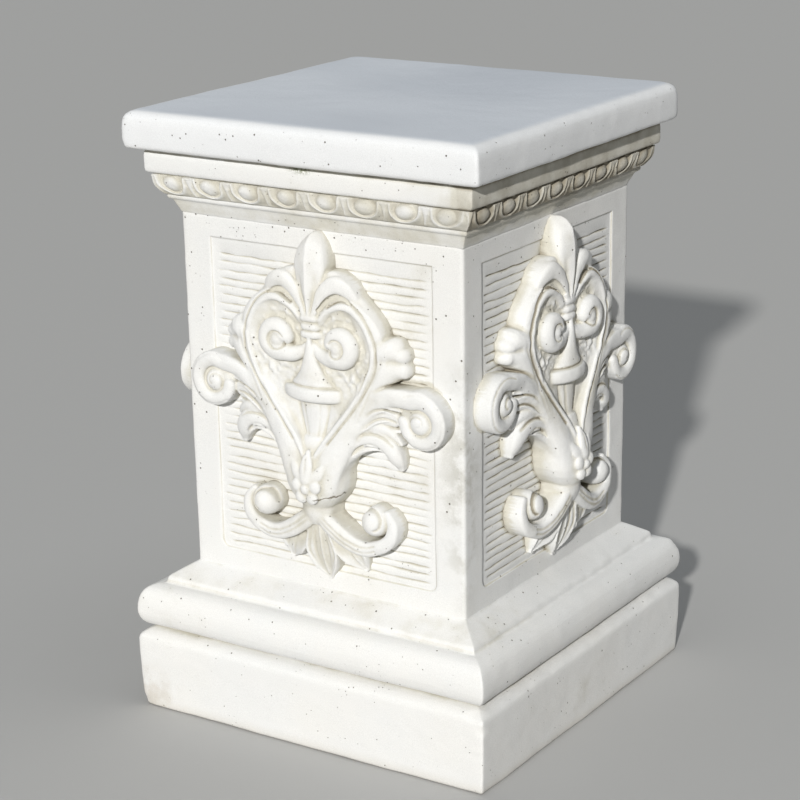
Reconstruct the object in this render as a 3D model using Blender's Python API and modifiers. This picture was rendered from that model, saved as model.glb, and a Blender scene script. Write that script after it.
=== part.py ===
"""Garden pedestal, cast in one piece of pale stone.

A square plinth and rounded base moulding carry a square die. Each side of the die
has a sunk panel with the same carved ornament: a bud and two curled petals above a
ringed knot, a pair of stems that leave the knot and meet again in a trunk, scrolls
inside and outside them, a small urn between them, and a pendant leaf below. An
egg-and-dart course, a fascia and a flat slab finish the top.

Units are metres, +Z is up, and the origin is at the middle of the underside.
"""

import math

import bmesh
import bpy
from mathutils import Matrix, Vector

# Heights of the courses, from the ground up
PLINTH_HEIGHT = 0.076
TORUS_HEIGHT = 0.038
FILLET_HEIGHT = 0.008
SPLAY_HEIGHT = 0.0105
DIE_HEIGHT = 0.318
CAVETTO_HEIGHT = 0.0095
BEAD_HEIGHT = 0.0065
OVOLO_HEIGHT = 0.0165
FASCIA_HEIGHT = 0.024
SLAB_HEIGHT = 0.033

# Widths of the die, across the flats, and how far each course stands out from its faces
DIE_FOOT_WIDTH = 0.2785
DIE_TOP_WIDTH = 0.281
PLINTH_REACH = 0.04125
PLINTH_FOOT_REACH = 0.039
TORUS_REACH = 0.04075
FILLET_FOOT_REACH = 0.0215
FILLET_TOP_REACH = 0.018
BEAD_REACH = 0.008
OVOLO_FOOT_REACH = 0.010
OVOLO_TOP_REACH = 0.016
FASCIA_REACH = 0.022
SLAB_REACH = 0.03525

PLINTH_WIDTH = DIE_FOOT_WIDTH + 2 * PLINTH_REACH
PLINTH_FOOT_WIDTH = DIE_FOOT_WIDTH + 2 * PLINTH_FOOT_REACH
TORUS_WIDTH = DIE_FOOT_WIDTH + 2 * TORUS_REACH
FILLET_FOOT_WIDTH = DIE_FOOT_WIDTH + 2 * FILLET_FOOT_REACH
FILLET_TOP_WIDTH = DIE_FOOT_WIDTH + 2 * FILLET_TOP_REACH
BEAD_WIDTH = DIE_TOP_WIDTH + 2 * BEAD_REACH
OVOLO_FOOT_WIDTH = DIE_TOP_WIDTH + 2 * OVOLO_FOOT_REACH
OVOLO_TOP_WIDTH = DIE_TOP_WIDTH + 2 * OVOLO_TOP_REACH
FASCIA_WIDTH = DIE_TOP_WIDTH + 2 * FASCIA_REACH
SLAB_WIDTH = DIE_TOP_WIDTH + 2 * SLAB_REACH

# Rounded edges
PLINTH_EDGE = 0.006
TORUS_EDGE = 0.018
DIE_EDGE = 0.003
FASCIA_EDGE = 0.0035
SLAB_EDGE = 0.008
EDGE_STEPS = 2
TORUS_STEPS = 3

# Sunk panel on each side of the die
PANEL_SIDE_MARGIN = 0.0285
PANEL_TOP_MARGIN = 0.0185
PANEL_FOOT_MARGIN = 0.0195
PANEL_SINK = 0.0018
PANEL_CORNER = 0.006

# Egg-and-dart course
EGG_COUNT = 8
EGG_WIDTH = 0.025
EGG_LENGTH = 0.0175
EGG_PROUD = 0.006
DART_WIDTH = 0.008
DART_PROUD = 0.004

# Ornament: its drawing is 308 units tall and 262 wide, and one unit is a millimetre at
# this size. It keeps these gaps to the foot of the die and to the upright edges there.
DRAWN_HEIGHT = 308.0
DRAWN_WIDTH = 262.0
ORNAMENT_FOOT_GAP = 0.010
ORNAMENT_SIDE_GAP = 0.00825
ORNAMENT_ROOT = 0.006
BACKING_HALF_WIDTH = 118.0
BACKING_INSET = 6.0
FACETS_KEPT = 0.31
UNIT = (DIE_HEIGHT - ORNAMENT_FOOT_GAP) / DRAWN_HEIGHT
UNIT_ACROSS = (DIE_FOOT_WIDTH - 2 * ORNAMENT_SIDE_GAP) / DRAWN_WIDTH

# How far one course runs into the next, so that they join as one body
LAP = 0.004

SIDES = 4


def stack(*heights):
    """The levels that these heights reach, one on the other, from the ground."""
    levels = [0.0]
    for height in heights:
        levels.append(levels[-1] + height)
    return levels


(
    GROUND,
    PLINTH_TOP,
    TORUS_TOP,
    FILLET_TOP,
    DIE_FOOT,
    DIE_TOP,
    CAVETTO_TOP,
    BEAD_TOP,
    OVOLO_TOP,
    FASCIA_TOP,
    SLAB_TOP,
) = stack(
    PLINTH_HEIGHT,
    TORUS_HEIGHT,
    FILLET_HEIGHT,
    SPLAY_HEIGHT,
    DIE_HEIGHT,
    CAVETTO_HEIGHT,
    BEAD_HEIGHT,
    OVOLO_HEIGHT,
    FASCIA_HEIGHT,
    SLAB_HEIGHT,
)


def clear_scene():
    for obj in list(bpy.data.objects):
        bpy.data.objects.remove(obj, do_unlink=True)


def new_collection(name):
    collection = bpy.data.collections.new(name)
    bpy.context.scene.collection.children.link(collection)
    return collection


def object_from(name, mesh, collection):
    obj = bpy.data.objects.new(name, mesh)
    collection.objects.link(obj)
    return obj


def mesh_from(name, bm):
    bmesh.ops.recalc_face_normals(bm, faces=bm.faces)
    mesh = bpy.data.meshes.new(name)
    bm.to_mesh(mesh)
    bm.free()
    return mesh


def evaluated_mesh(obj):
    """A new mesh of the object with its modifiers applied."""
    graph = bpy.context.evaluated_depsgraph_get()
    graph.update()
    return bpy.data.meshes.new_from_object(obj.evaluated_get(graph))


def boolean(obj, other, operation):
    modifier = obj.modifiers.new(f"{operation.lower()} {other.name}", "BOOLEAN")
    modifier.operation = operation
    modifier.solver = "EXACT"
    modifier.object = other


def cast_stone():
    material = bpy.data.materials.new("cast_stone")
    material.use_nodes = True
    shader = material.node_tree.nodes["Principled BSDF"]
    shader.inputs["Base Color"].default_value = (0.80, 0.77, 0.70, 1.0)
    shader.inputs["Roughness"].default_value = 0.85
    shader.inputs["Metallic"].default_value = 0.0
    return material


# Courses

def rounded_block(name, low, high, foot_width, top_width, edge, steps, collection):
    """A square block between two levels, tapered from foot to top, with its edges rounded."""
    bm = bmesh.new()
    bmesh.ops.create_cube(bm, size=1.0)
    for vert in bm.verts:
        at_top = vert.co.z > 0
        width = top_width if at_top else foot_width
        vert.co.x *= width
        vert.co.y *= width
        vert.co.z = high if at_top else low
    obj = object_from(name, mesh_from(name, bm), collection)
    if edge:
        bevel = obj.modifiers.new("Rounded edges", "BEVEL")
        bevel.width = edge
        bevel.segments = steps
        bevel.limit_method = "ANGLE"
    return obj


def plinth(collection):
    """The plinth, with a sharp flat underside and rounded upper and upright edges."""
    obj = rounded_block(
        "plinth", GROUND - PLINTH_EDGE, PLINTH_TOP, PLINTH_FOOT_WIDTH, PLINTH_WIDTH,
        PLINTH_EDGE, EDGE_STEPS, collection,
    )
    bm = bmesh.new()
    bm.from_mesh(evaluated_mesh(obj))
    cut = bmesh.ops.bisect_plane(
        bm, geom=bm.verts[:] + bm.edges[:] + bm.faces[:],
        plane_co=(0, 0, GROUND), plane_no=(0, 0, -1), clear_outer=True,
    )
    rim = [item for item in cut["geom_cut"] if isinstance(item, bmesh.types.BMEdge)]
    bmesh.ops.edgeloop_fill(bm, edges=rim)
    bpy.data.objects.remove(obj, do_unlink=True)
    return object_from("plinth", mesh_from("plinth", bm), collection)


def square_course(name, profile, collection):
    """A mitred square body turned in four steps from half widths and levels, top first."""
    bm = bmesh.new()
    corner = math.sqrt(2.0)
    outer = [bm.verts.new((half * corner, 0.0, level)) for half, level in profile]
    top = bm.verts.new((0.0, 0.0, profile[0][1]))
    foot = bm.verts.new((0.0, 0.0, profile[-1][1]))
    line = [top] + outer + [foot]
    for first, second in zip(line, line[1:]):
        bm.edges.new((first, second))
    mesh = bpy.data.meshes.new(name)
    bm.to_mesh(mesh)
    bm.free()
    obj = object_from(name, mesh, collection)
    turn = obj.modifiers.new("Four sides", "SCREW")
    turn.angle = math.tau
    turn.steps = SIDES
    turn.render_steps = SIDES
    turn.use_merge_vertices = True
    turn.merge_threshold = 0.0001
    turned = evaluated_mesh(obj)
    turned.transform(Matrix.Rotation(math.tau / 8, 4, "Z"))
    bpy.data.objects.remove(obj, do_unlink=True)
    return object_from(name, turned, collection)


def quarter_round(start, end, bulge, steps=3):
    """Points from start to end, bowed to the outside by a share of the run between them."""
    start = Vector(start)
    end = Vector(end)
    run = end - start
    out = Vector((-run.y, run.x))
    points = []
    for i in range(steps + 1):
        t = i / steps
        points.append(tuple(start + run * t + out * bulge * 4.0 * t * (1.0 - t)))
    return points


def torus_course(collection):
    """The full round of the base, mitred at the corners, and sunk a little into the plinth."""
    middle = TORUS_WIDTH / 2 - TORUS_EDGE
    levels = (TORUS_TOP - TORUS_EDGE, PLINTH_TOP - LAP / 4 + TORUS_EDGE)
    profile = []
    for quarter, level in enumerate(levels):
        for i in range(TORUS_STEPS + 1):
            angle = math.tau / 4 * (1 - quarter - i / TORUS_STEPS)
            profile.append((
                middle + TORUS_EDGE * math.cos(angle), level + TORUS_EDGE * math.sin(angle),
            ))
    return square_course("torus", profile, collection)


def base_course(collection):
    """The fillet and splay between the torus and the die."""
    return square_course("base_course", [
        (DIE_FOOT_WIDTH / 2 - LAP, DIE_FOOT + LAP),
        (DIE_FOOT_WIDTH / 2 - LAP, DIE_FOOT),
        (DIE_FOOT_WIDTH / 2 + LAP / 8, DIE_FOOT),
        (FILLET_TOP_WIDTH / 2, FILLET_TOP),
        (FILLET_FOOT_WIDTH / 2, TORUS_TOP),
        (FILLET_FOOT_WIDTH / 2, TORUS_TOP - LAP),
    ], collection)


def cornice_course(collection):
    """The cavetto, bead and ovolo that carry the fascia."""
    ovolo = quarter_round(
        (OVOLO_TOP_WIDTH / 2, OVOLO_TOP), (OVOLO_FOOT_WIDTH / 2, BEAD_TOP), -0.06,
    )
    cavetto = quarter_round(
        (BEAD_WIDTH / 2 - LAP / 4, CAVETTO_TOP), (DIE_TOP_WIDTH / 2 + LAP / 8, DIE_TOP), 0.10,
    )
    inside = DIE_TOP_WIDTH / 2 - LAP
    profile = [(OVOLO_TOP_WIDTH / 2, OVOLO_TOP + LAP)] + ovolo
    profile.append((BEAD_WIDTH / 2, BEAD_TOP - LAP / 4))
    profile.append((BEAD_WIDTH / 2, CAVETTO_TOP + LAP / 8))
    profile += cavetto
    profile += [(inside, DIE_TOP), (inside, DIE_TOP - LAP)]
    return square_course("cornice_course", profile, collection)


def courses(collection):
    return [
        plinth(collection),
        torus_course(collection),
        base_course(collection),
        rounded_block(
            "die", DIE_FOOT - LAP, DIE_TOP + LAP, DIE_FOOT_WIDTH, DIE_TOP_WIDTH,
            DIE_EDGE, 1, collection,
        ),
        cornice_course(collection),
        rounded_block(
            "fascia", OVOLO_TOP, FASCIA_TOP + SLAB_EDGE, FASCIA_WIDTH, FASCIA_WIDTH,
            FASCIA_EDGE, 1, collection,
        ),
        rounded_block(
            "slab", FASCIA_TOP, SLAB_TOP, SLAB_WIDTH, SLAB_WIDTH,
            SLAB_EDGE, EDGE_STEPS, collection,
        ),
    ]


# Sunk panels

def panel_cutter(collection):
    """A thin upright block with rounded corners, to sink the front panel."""
    half = DIE_TOP_WIDTH / 2 - PANEL_SIDE_MARGIN
    low = DIE_FOOT + PANEL_FOOT_MARGIN
    high = DIE_TOP - PANEL_TOP_MARGIN
    lean = math.atan2((DIE_TOP_WIDTH - DIE_FOOT_WIDTH) / 2, DIE_HEIGHT)
    middle = (DIE_TOP_WIDTH + DIE_FOOT_WIDTH) / 4
    bm = bmesh.new()
    bmesh.ops.create_cube(bm, size=1.0)
    bmesh.ops.scale(bm, vec=(2 * half, 2 * DIE_EDGE + 2 * PANEL_SINK, high - low), verts=bm.verts)
    along = [edge for edge in bm.edges if abs(edge.verts[0].co.y - edge.verts[1].co.y) > PANEL_SINK]
    bmesh.ops.bevel(
        bm, geom=along, offset=PANEL_CORNER, offset_type="OFFSET", segments=3,
        profile=0.5, affect="EDGES",
    )
    bmesh.ops.rotate(bm, cent=(0, 0, 0), matrix=Matrix.Rotation(lean, 3, "X"), verts=bm.verts)
    rise = (low + high) / 2 - (DIE_FOOT + DIE_TOP) / 2
    out = middle + rise * math.tan(lean) + DIE_EDGE
    bmesh.ops.translate(bm, vec=(0, -out, (low + high) / 2), verts=bm.verts)
    return object_from("panel_cutter", mesh_from("panel_cutter", bm), collection)


# Egg-and-dart

def on_ovolo(along, share, proud):
    """A place on the front ovolo: along the side, a share of its height up, and proud of it."""
    half = (OVOLO_FOOT_WIDTH + (OVOLO_TOP_WIDTH - OVOLO_FOOT_WIDTH) * share) / 2
    return Vector((along, -half - proud, BEAD_TOP + OVOLO_HEIGHT * share))


def egg(name, along, collection):
    bm = bmesh.new()
    bmesh.ops.create_uvsphere(bm, u_segments=6, v_segments=4, radius=1.0)
    bmesh.ops.scale(bm, vec=(EGG_WIDTH / 2, EGG_PROUD, EGG_LENGTH / 2), verts=bm.verts)
    bmesh.ops.translate(bm, vec=on_ovolo(along, 0.56, 0.0), verts=bm.verts)
    return object_from(name, mesh_from(name, bm), collection)


def dart(name, along, collection):
    bm = bmesh.new()
    bmesh.ops.create_cone(
        bm, cap_ends=True, segments=3, radius1=DART_WIDTH / 8, radius2=DART_WIDTH / 2,
        depth=OVOLO_HEIGHT * 0.94,
    )
    bmesh.ops.scale(bm, vec=(1.0, 2.0 * DART_PROUD / DART_WIDTH, 1.0), verts=bm.verts)
    bmesh.ops.translate(bm, vec=on_ovolo(along, 0.5, 0.0), verts=bm.verts)
    return object_from(name, mesh_from(name, bm), collection)


def egg_course(collection):
    """One side's eggs and the darts between them."""
    pitch = (OVOLO_FOOT_WIDTH + OVOLO_TOP_WIDTH) / 2 / (EGG_COUNT + 0.4)
    first = -pitch * (EGG_COUNT - 1) / 2
    made = [egg(f"egg_{i}", first + pitch * i, collection) for i in range(EGG_COUNT)]
    made += [dart(f"dart_{i}", first + pitch * (i + 0.5), collection) for i in range(EGG_COUNT - 1)]
    return made


# Carved ornament. Its drawing is on the front face: across from its middle, up from its
# lowest tip, and each place along a form has a half width and a height above the face.

def place(across, up, out):
    """A point of the drawing, on the front of the die."""
    level = DIE_FOOT + ORNAMENT_FOOT_GAP + up * UNIT
    share = (level - DIE_FOOT) / DIE_HEIGHT
    half = (DIE_FOOT_WIDTH + (DIE_TOP_WIDTH - DIE_FOOT_WIDTH) * share) / 2
    return Vector((across * UNIT_ACROSS, -half - out, level))


def section(half_width, height):
    """A ridge's section as (offset, height): upright walls under a rounded crest."""
    rounding = min(half_width, 0.85 * height)
    wall = height - rounding
    root = -ORNAMENT_ROOT / UNIT
    return [
        (-half_width, root),
        (-half_width, wall),
        (-0.70 * half_width, wall + 0.72 * rounding),
        (0.0, height),
        (0.70 * half_width, wall + 0.72 * rounding),
        (half_width, wall),
        (half_width, root),
    ]


def ridge(name, path, collection):
    """A carved ridge lofted along a path of (across, up, half width, height)."""
    bm = bmesh.new()
    rings = []
    last = len(path) - 1
    for i, (across, up, half_width, height) in enumerate(path):
        before = path[max(i - 1, 0)]
        after = path[min(i + 1, last)]
        run = Vector((after[0] - before[0], after[1] - before[1])).normalized()
        side = Vector((run.y, -run.x))
        ring = []
        for offset, rise in section(half_width, height):
            spot = place(across + side.x * offset, up + side.y * offset, rise * UNIT)
            ring.append(bm.verts.new(spot))
        rings.append(ring)
    for first, second in zip(rings, rings[1:]):
        for j in range(len(first)):
            k = (j + 1) % len(first)
            bm.faces.new((first[j], first[k], second[k], second[j]))
    bm.faces.new(rings[0])
    bm.faces.new(list(reversed(rings[-1])))
    return object_from(name, mesh_from(name, bm), collection)


def ball(name, across, up, radius, middle, collection):
    """A ball whose middle is this far in front of the face."""
    bm = bmesh.new()
    bmesh.ops.create_uvsphere(bm, u_segments=10, v_segments=7, radius=radius * UNIT)
    bmesh.ops.translate(bm, vec=place(across, up, middle * UNIT), verts=bm.verts)
    return object_from(name, mesh_from(name, bm), collection)


def scroll(middle, radii, angles, half_widths, heights, steps):
    """Places along a spiral, with its radius, width and height changing evenly."""
    path = []
    for i in range(steps + 1):
        t = i / steps
        angle = math.radians(angles[0] + (angles[1] - angles[0]) * t)
        radius = radii[0] + (radii[1] - radii[0]) * t
        path.append((
            middle[0] + radius * math.cos(angle),
            middle[1] + radius * math.sin(angle),
            half_widths[0] + (half_widths[1] - half_widths[0]) * t,
            heights[0] + (heights[1] - heights[0]) * t,
        ))
    return path


def centre_forms(collection):
    """The forms on the middle line: bud, knot, urn, trunk, flower and pendant."""
    ridge("bud", [
        (0, 307, 1.5, 4), (0, 303, 9, 15), (0, 294, 15, 21), (0, 280, 15.5, 22),
        (0, 262, 11, 22), (0, 240, 4, 22),
    ], collection)
    for i, up in enumerate((236, 229, 222)):
        ridge(f"knot_{i}", [
            (-12, up, 3, 15), (-6, up, 3.8, 21), (6, up, 3.8, 21), (12, up, 3, 15),
        ], collection)
    ridge("urn_lid", [
        (0, 220, 3, 21), (0, 208, 7, 21), (0, 194, 13, 22), (0, 182, 23, 24),
        (0, 175, 30, 25), (0, 166, 29, 25),
    ], collection)
    ridge("urn_body", [
        (0, 169, 20, 19), (0, 150, 15, 18), (0, 134, 9, 18), (0, 118, 4, 18),
    ], collection)
    ridge("trunk", [
        (0, 121, 23, 20), (0, 107, 30, 28), (0, 90, 32, 34), (0, 74, 28, 33),
        (0, 62, 20, 27), (0, 54, 10, 18),
    ], collection)
    ridge("trunk_leaf", [(0, 126, 2, 26), (0, 116, 6, 33), (0, 104, 6, 36), (0, 96, 2, 35)], collection)
    ball("flower_middle", 0, 92, 5, 33.5, collection)
    for turn in range(4):
        angle = math.tau * turn / 4
        ball(f"flower_{turn}", 7.5 * math.cos(angle), 92 + 7.5 * math.sin(angle), 5, 31, collection)
    ridge("pendant", [
        (0, 62, 9, 16), (1, 46, 9, 14), (2, 30, 11, 12), (3, 15, 10, 9), (4, 1, 2, 3),
    ], collection)


def side_forms(collection, hand):
    """The forms of one half of the ornament, on the side that hand gives as 1 or -1."""

    def turned(path):
        return [(hand * across, up, width, height) for across, up, width, height in path]

    def made(name, path):
        return ridge(f"{name}_{hand}", turned(path), collection)

    made("petal", [
        (3, 240, 4, 20), (9, 253, 6, 20), (17, 266, 8, 20), (28, 274, 9, 19),
        (38, 268, 8, 17), (43, 256, 4, 13),
    ])
    made("stem", [
        (9, 236, 4, 19), (18, 249, 6, 19), (34, 255, 7, 19), (51, 248, 8, 19),
        (64, 232, 8, 19), (68, 212, 9, 19), (62, 189, 10, 19), (50, 170, 11, 20),
        (37, 151, 12, 22), (26, 134, 13, 25), (17, 116, 14, 28), (10, 98, 14, 30),
    ])
    made("shoulder", [(42, 258, 6, 12), (53, 248, 10, 15), (65, 235, 12, 16), (70, 222, 9, 14)])
    made("lobe", [(58, 172, 7, 14), (69, 190, 11, 17), (77, 208, 13, 18), (80, 221, 8, 14)])
    made("inner_scroll", [(7, 211, 4.5, 18), (17, 207, 6.5, 22)] + scroll(
        (31, 217), (10.5, 9.5), (-105, 150), (7.5, 6), (25, 24), 7,
    ))
    ball(f"inner_ball_{hand}", hand * 30, 217, 7.5, 19, collection)
    made("outer_scroll", [
        (38, 145, 8, 18), (56, 160, 9, 18), (74, 176, 10, 17),
    ] + scroll((104, 167), (19, 16.5), (130, -170), (9, 8), (16, 15), 9))
    ball(f"outer_ball_{hand}", hand * 104, 167, 9, 8, collection)
    made("under_leaf", [(40, 143, 8, 16), (58, 152, 7, 13), (74, 156, 4, 9)])
    made("hook_leaf", [
        (22, 116, 9, 22), (36, 135, 9, 18), (51, 143, 8, 15), (65, 141, 8, 13),
        (75, 132, 7, 11), (77, 120, 4, 8),
    ])
    made("arm", [
        (5, 68, 9, 29), (17, 55, 9, 25), (30, 47, 9, 21),
    ] + scroll((56, 63), (20, 14), (-115, 75), (8.5, 7), (19, 16), 7))
    ball(f"arm_ball_{hand}", hand * 56, 67, 15.5, 10, collection)
    made("pendant_outer", [(8, 60, 7, 15), (18, 42, 9, 13), (28, 30, 9, 10), (38, 22, 3, 4)])
    made("pendant_inner", [(5, 58, 7, 15), (12, 38, 8, 13), (18, 22, 8, 9), (22, 13, 3, 3)])


def backing(collection):
    """A thin block that lies wholly inside the die, behind the panel, and joins the forms."""
    bm = bmesh.new()
    bmesh.ops.create_cube(bm, size=1.0)
    depth = ORNAMENT_ROOT / UNIT
    corners = []
    for vert in bm.verts:
        out = -2.0 * depth if vert.co.y > 0 else -0.6 * depth
        across = math.copysign(BACKING_HALF_WIDTH, vert.co.x)
        up = DRAWN_HEIGHT - BACKING_INSET if vert.co.z > 0 else BACKING_INSET
        corners.append(place(across, up, out * UNIT))
    for vert, corner in zip(bm.verts, corners):
        vert.co = corner
    return object_from("ornament", mesh_from("ornament", bm), collection)


def ornament(tools):
    """One panel's ornament, joined as one body on its backing."""
    forms = new_collection("ornament_forms")
    centre_forms(forms)
    side_forms(forms, 1)
    side_forms(forms, -1)
    base = backing(tools)
    for form in forms.objects:
        boolean(base, form, "UNION")
    thin = base.modifiers.new("Fewer facets", "DECIMATE")
    thin.ratio = FACETS_KEPT
    mesh = evaluated_mesh(base)
    for obj in list(forms.objects) + [base]:
        bpy.data.objects.remove(obj, do_unlink=True)
    bpy.data.collections.remove(forms)
    return object_from("ornament", mesh, tools)


# Assembly

def on_each_side(obj, tools):
    """The object and its copies on the other sides of the die."""
    copies = []
    for side in range(SIDES):
        mesh = obj.data.copy()
        mesh.transform(Matrix.Rotation(math.tau * side / SIDES, 4, "Z"))
        copies.append(object_from(f"{obj.name}_side_{side}", mesh, tools))
    bpy.data.objects.remove(obj, do_unlink=True)
    return copies


def pedestal():
    parts = new_collection("garden_pedestal")
    tools = new_collection("cutters")
    body, *others = courses(tools)
    tools.objects.unlink(body)
    parts.objects.link(body)
    body.name = "pedestal"
    for course in others:
        boolean(body, course, "UNION")
    for cutter in on_each_side(panel_cutter(tools), tools):
        boolean(body, cutter, "DIFFERENCE")
    for carving in egg_course(tools) + [ornament(tools)]:
        for copy in on_each_side(carving, tools):
            boolean(body, copy, "UNION")
    for tool in tools.objects:
        tool.hide_render = True
        tool.display_type = "WIRE"
    body.data.materials.append(cast_stone())
    return body


clear_scene()
pedestal()
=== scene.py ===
"""The look of a garden pedestal, cast in pale stone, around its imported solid.

Lengths in this script are millimetres until a mesh is made, apart from those of the
camera, the lights and the materials, which are metres. The carving is drawn once for
one half of a face, as (across from the middle, up from the lowest tip, out from the
face), worked out as a field of distances on a grid, and turned into a mesh.
"""

import itertools
import math

import bpy
import numpy as np
from mathutils import Matrix, Vector


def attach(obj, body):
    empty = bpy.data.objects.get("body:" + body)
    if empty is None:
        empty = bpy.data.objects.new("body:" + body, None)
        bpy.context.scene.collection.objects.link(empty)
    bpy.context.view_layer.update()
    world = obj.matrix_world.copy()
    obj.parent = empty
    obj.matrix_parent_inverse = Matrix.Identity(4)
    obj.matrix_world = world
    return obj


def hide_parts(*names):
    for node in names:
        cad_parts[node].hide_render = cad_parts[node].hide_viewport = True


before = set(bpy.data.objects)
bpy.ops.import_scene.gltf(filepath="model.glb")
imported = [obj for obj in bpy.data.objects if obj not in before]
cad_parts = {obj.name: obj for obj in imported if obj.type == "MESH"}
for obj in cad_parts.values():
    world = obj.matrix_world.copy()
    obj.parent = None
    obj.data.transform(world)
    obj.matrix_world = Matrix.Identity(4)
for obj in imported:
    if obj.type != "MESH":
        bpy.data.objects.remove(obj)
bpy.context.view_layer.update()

BODY = "root"
NODE = "pedestal"
SIDES = 4
MM = 0.001

# Levels of the die and the widths of its foot and top
DIE_FOOT = 132.5
DIE_TOP = 450.5
DIE_FOOT_HALF = 139.25
DIE_TOP_HALF = 140.5
DIE_EDGE = 3.0

# The sunk panel, by its outline on the face
PANEL_HALF = 111.0
PANEL_LOW = 152.0
PANEL_HIGH = 432.0
PANEL_SINK = 1.8
PANEL_CORNER = 7.0
RAKE_PITCH = 7.2
RAKE_REACH = 104.0

# The drawing of the carving: its lowest tip stands this far above the foot of the die
TIP_GAP = 10.0
DRAWN_HEIGHT = 308.0

# A hairline crack on the boss of the first side, in metres: where it starts, across and up, where it ends,
# how much it rises on the way, and how far forward stone has to stand to be marked by it
CRACK_START = (0.013, 0.2262)
CRACK_END = 0.036
CRACK_RISE = 0.25
CRACK_FRONT = -0.149

# The grid that the carving is worked out on, and the share of its faces that is kept
GRID_PITCH = 0.95
KEPT_FACES = 0.38


# Small helpers

def hashed(cells, seed):
    """A repeatable number from -1 to 1 for each whole-numbered place."""
    x, y, z = (cells[..., i].astype(np.uint64) for i in range(3))
    mixed = x * np.uint64(73856093) ^ y * np.uint64(19349663) ^ z * np.uint64(83492791)
    mixed ^= np.uint64(seed * 2654435761 % 2**32)
    mixed = (mixed ^ (mixed >> np.uint64(13))) * np.uint64(1274126177)
    mixed = (mixed ^ (mixed >> np.uint64(16))) & np.uint64(0xFFFFFF)
    return mixed.astype(np.float64) / 0x7FFFFF - 1.0


def corner_mean(cell, part, value_at):
    """A value between the eight cells from each one up, by the part of the way to the next."""
    total = np.zeros(part.shape[:-1])
    for corner in itertools.product((0, 1), repeat=3):
        weight = np.ones(part.shape[:-1])
        for axis, high in enumerate(corner):
            weight *= part[..., axis] if high else 1.0 - part[..., axis]
        total += weight * value_at(cell + np.array(corner))
    return total


def rough(places, pitch, seed):
    """Smooth noise from -1 to 1, with one random value at each lattice point."""
    scaled = np.asarray(places, float) / pitch + 1000.0
    cell = np.floor(scaled)
    part = scaled - cell
    part = part * part * (3.0 - 2.0 * part)
    return corner_mean(cell.astype(np.int64), part, lambda near: hashed(near, seed))


def roughness(places, *layers):
    """The sum of layers of noise, each given as (strength, pitch, seed)."""
    return sum(strength * rough(places, pitch, seed) for strength, pitch, seed in layers)


def smooth_step(value, low, high):
    """From 0 at the low value to 1 at the high one, with a soft start and end."""
    t = np.clip((value - low) / (high - low), 0.0, 1.0)
    return t * t * (3.0 - 2.0 * t)


def within(value, start, full, end, gone):
    """From 0 at the start to 1 where it is full, and back from 1 at the end to 0 where it is gone."""
    return smooth_step(value, start, full) * smooth_step(-value, -gone, -end)


def curve(rows, gap):
    """Rows along a smooth line from the second of the given rows up to the last but one."""
    made = []
    for a, b, c, d in zip(rows, rows[1:], rows[2:], rows[3:]):
        steps = max(1, int(math.hypot(*(c - b)[:2]) / gap))
        t = np.arange(steps)[:, None] / steps
        made.append(0.5 * (
            2 * b + (c - a) * t + (2 * a - 5 * b + 4 * c - d) * t**2
            + (3 * b - a - 3 * c + d) * t**3
        ))
    return np.vstack(made)


def through(points, gap):
    """Rows along a smooth line through the given rows, about a gap apart in the drawing."""
    rows = np.array(points, float)
    rows = np.vstack([2 * rows[0] - rows[1], rows, 2 * rows[-1] - rows[-2]])
    return np.vstack([curve(rows, gap), rows[-2:-1]])


def swung(x, y, angle):
    """The two values turned about the middle of the plan."""
    c, s = math.cos(angle), math.sin(angle)
    return c * x - s * y, s * x + c * y


def mesh_object(name, places, faces, recess=None, turn=0.0):
    """A smooth object from places in millimetres and faces that all have three or four corners."""
    mesh = bpy.data.meshes.new(name)
    spots = np.asarray(places, np.float64) * MM
    if turn:
        spots = np.stack([*swung(spots[:, 0], spots[:, 1], turn), spots[:, 2]], 1)
    mesh.vertices.add(len(spots))
    mesh.vertices.foreach_set("co", spots.astype(np.float32).ravel())
    faces = np.asarray(faces, np.int32)
    mesh.loops.add(faces.size)
    mesh.loops.foreach_set("vertex_index", faces.ravel())
    mesh.polygons.add(len(faces))
    mesh.polygons.foreach_set("loop_start", np.arange(0, faces.size, faces.shape[1], dtype=np.int32))
    mesh.polygons.foreach_set("use_smooth", np.ones(len(faces), bool))
    mesh.update(calc_edges=True)
    mesh.validate()
    if recess is not None:
        layer = mesh.attributes.new("recess", "FLOAT", "POINT")
        layer.data.foreach_set("value", np.asarray(recess, np.float32))
    obj = bpy.data.objects.new(name, mesh)
    bpy.context.scene.collection.objects.link(obj)
    return obj


def face_half(level):
    """Half the width of the die at a level."""
    share = (level - DIE_FOOT) / (DIE_TOP - DIE_FOOT)
    return DIE_FOOT_HALF + (DIE_TOP_HALF - DIE_FOOT_HALF) * share


# Courses and die as lofts of rounded squares

def ring_plan(shares, corner_steps):
    """One quarter of a rounded square's plan: side places by share, then the corner's turn."""
    side = [(share, None) for share in shares]
    corner = [(1.0, (i + 1) / (corner_steps + 1)) for i in range(corner_steps)]
    return side + corner


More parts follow.
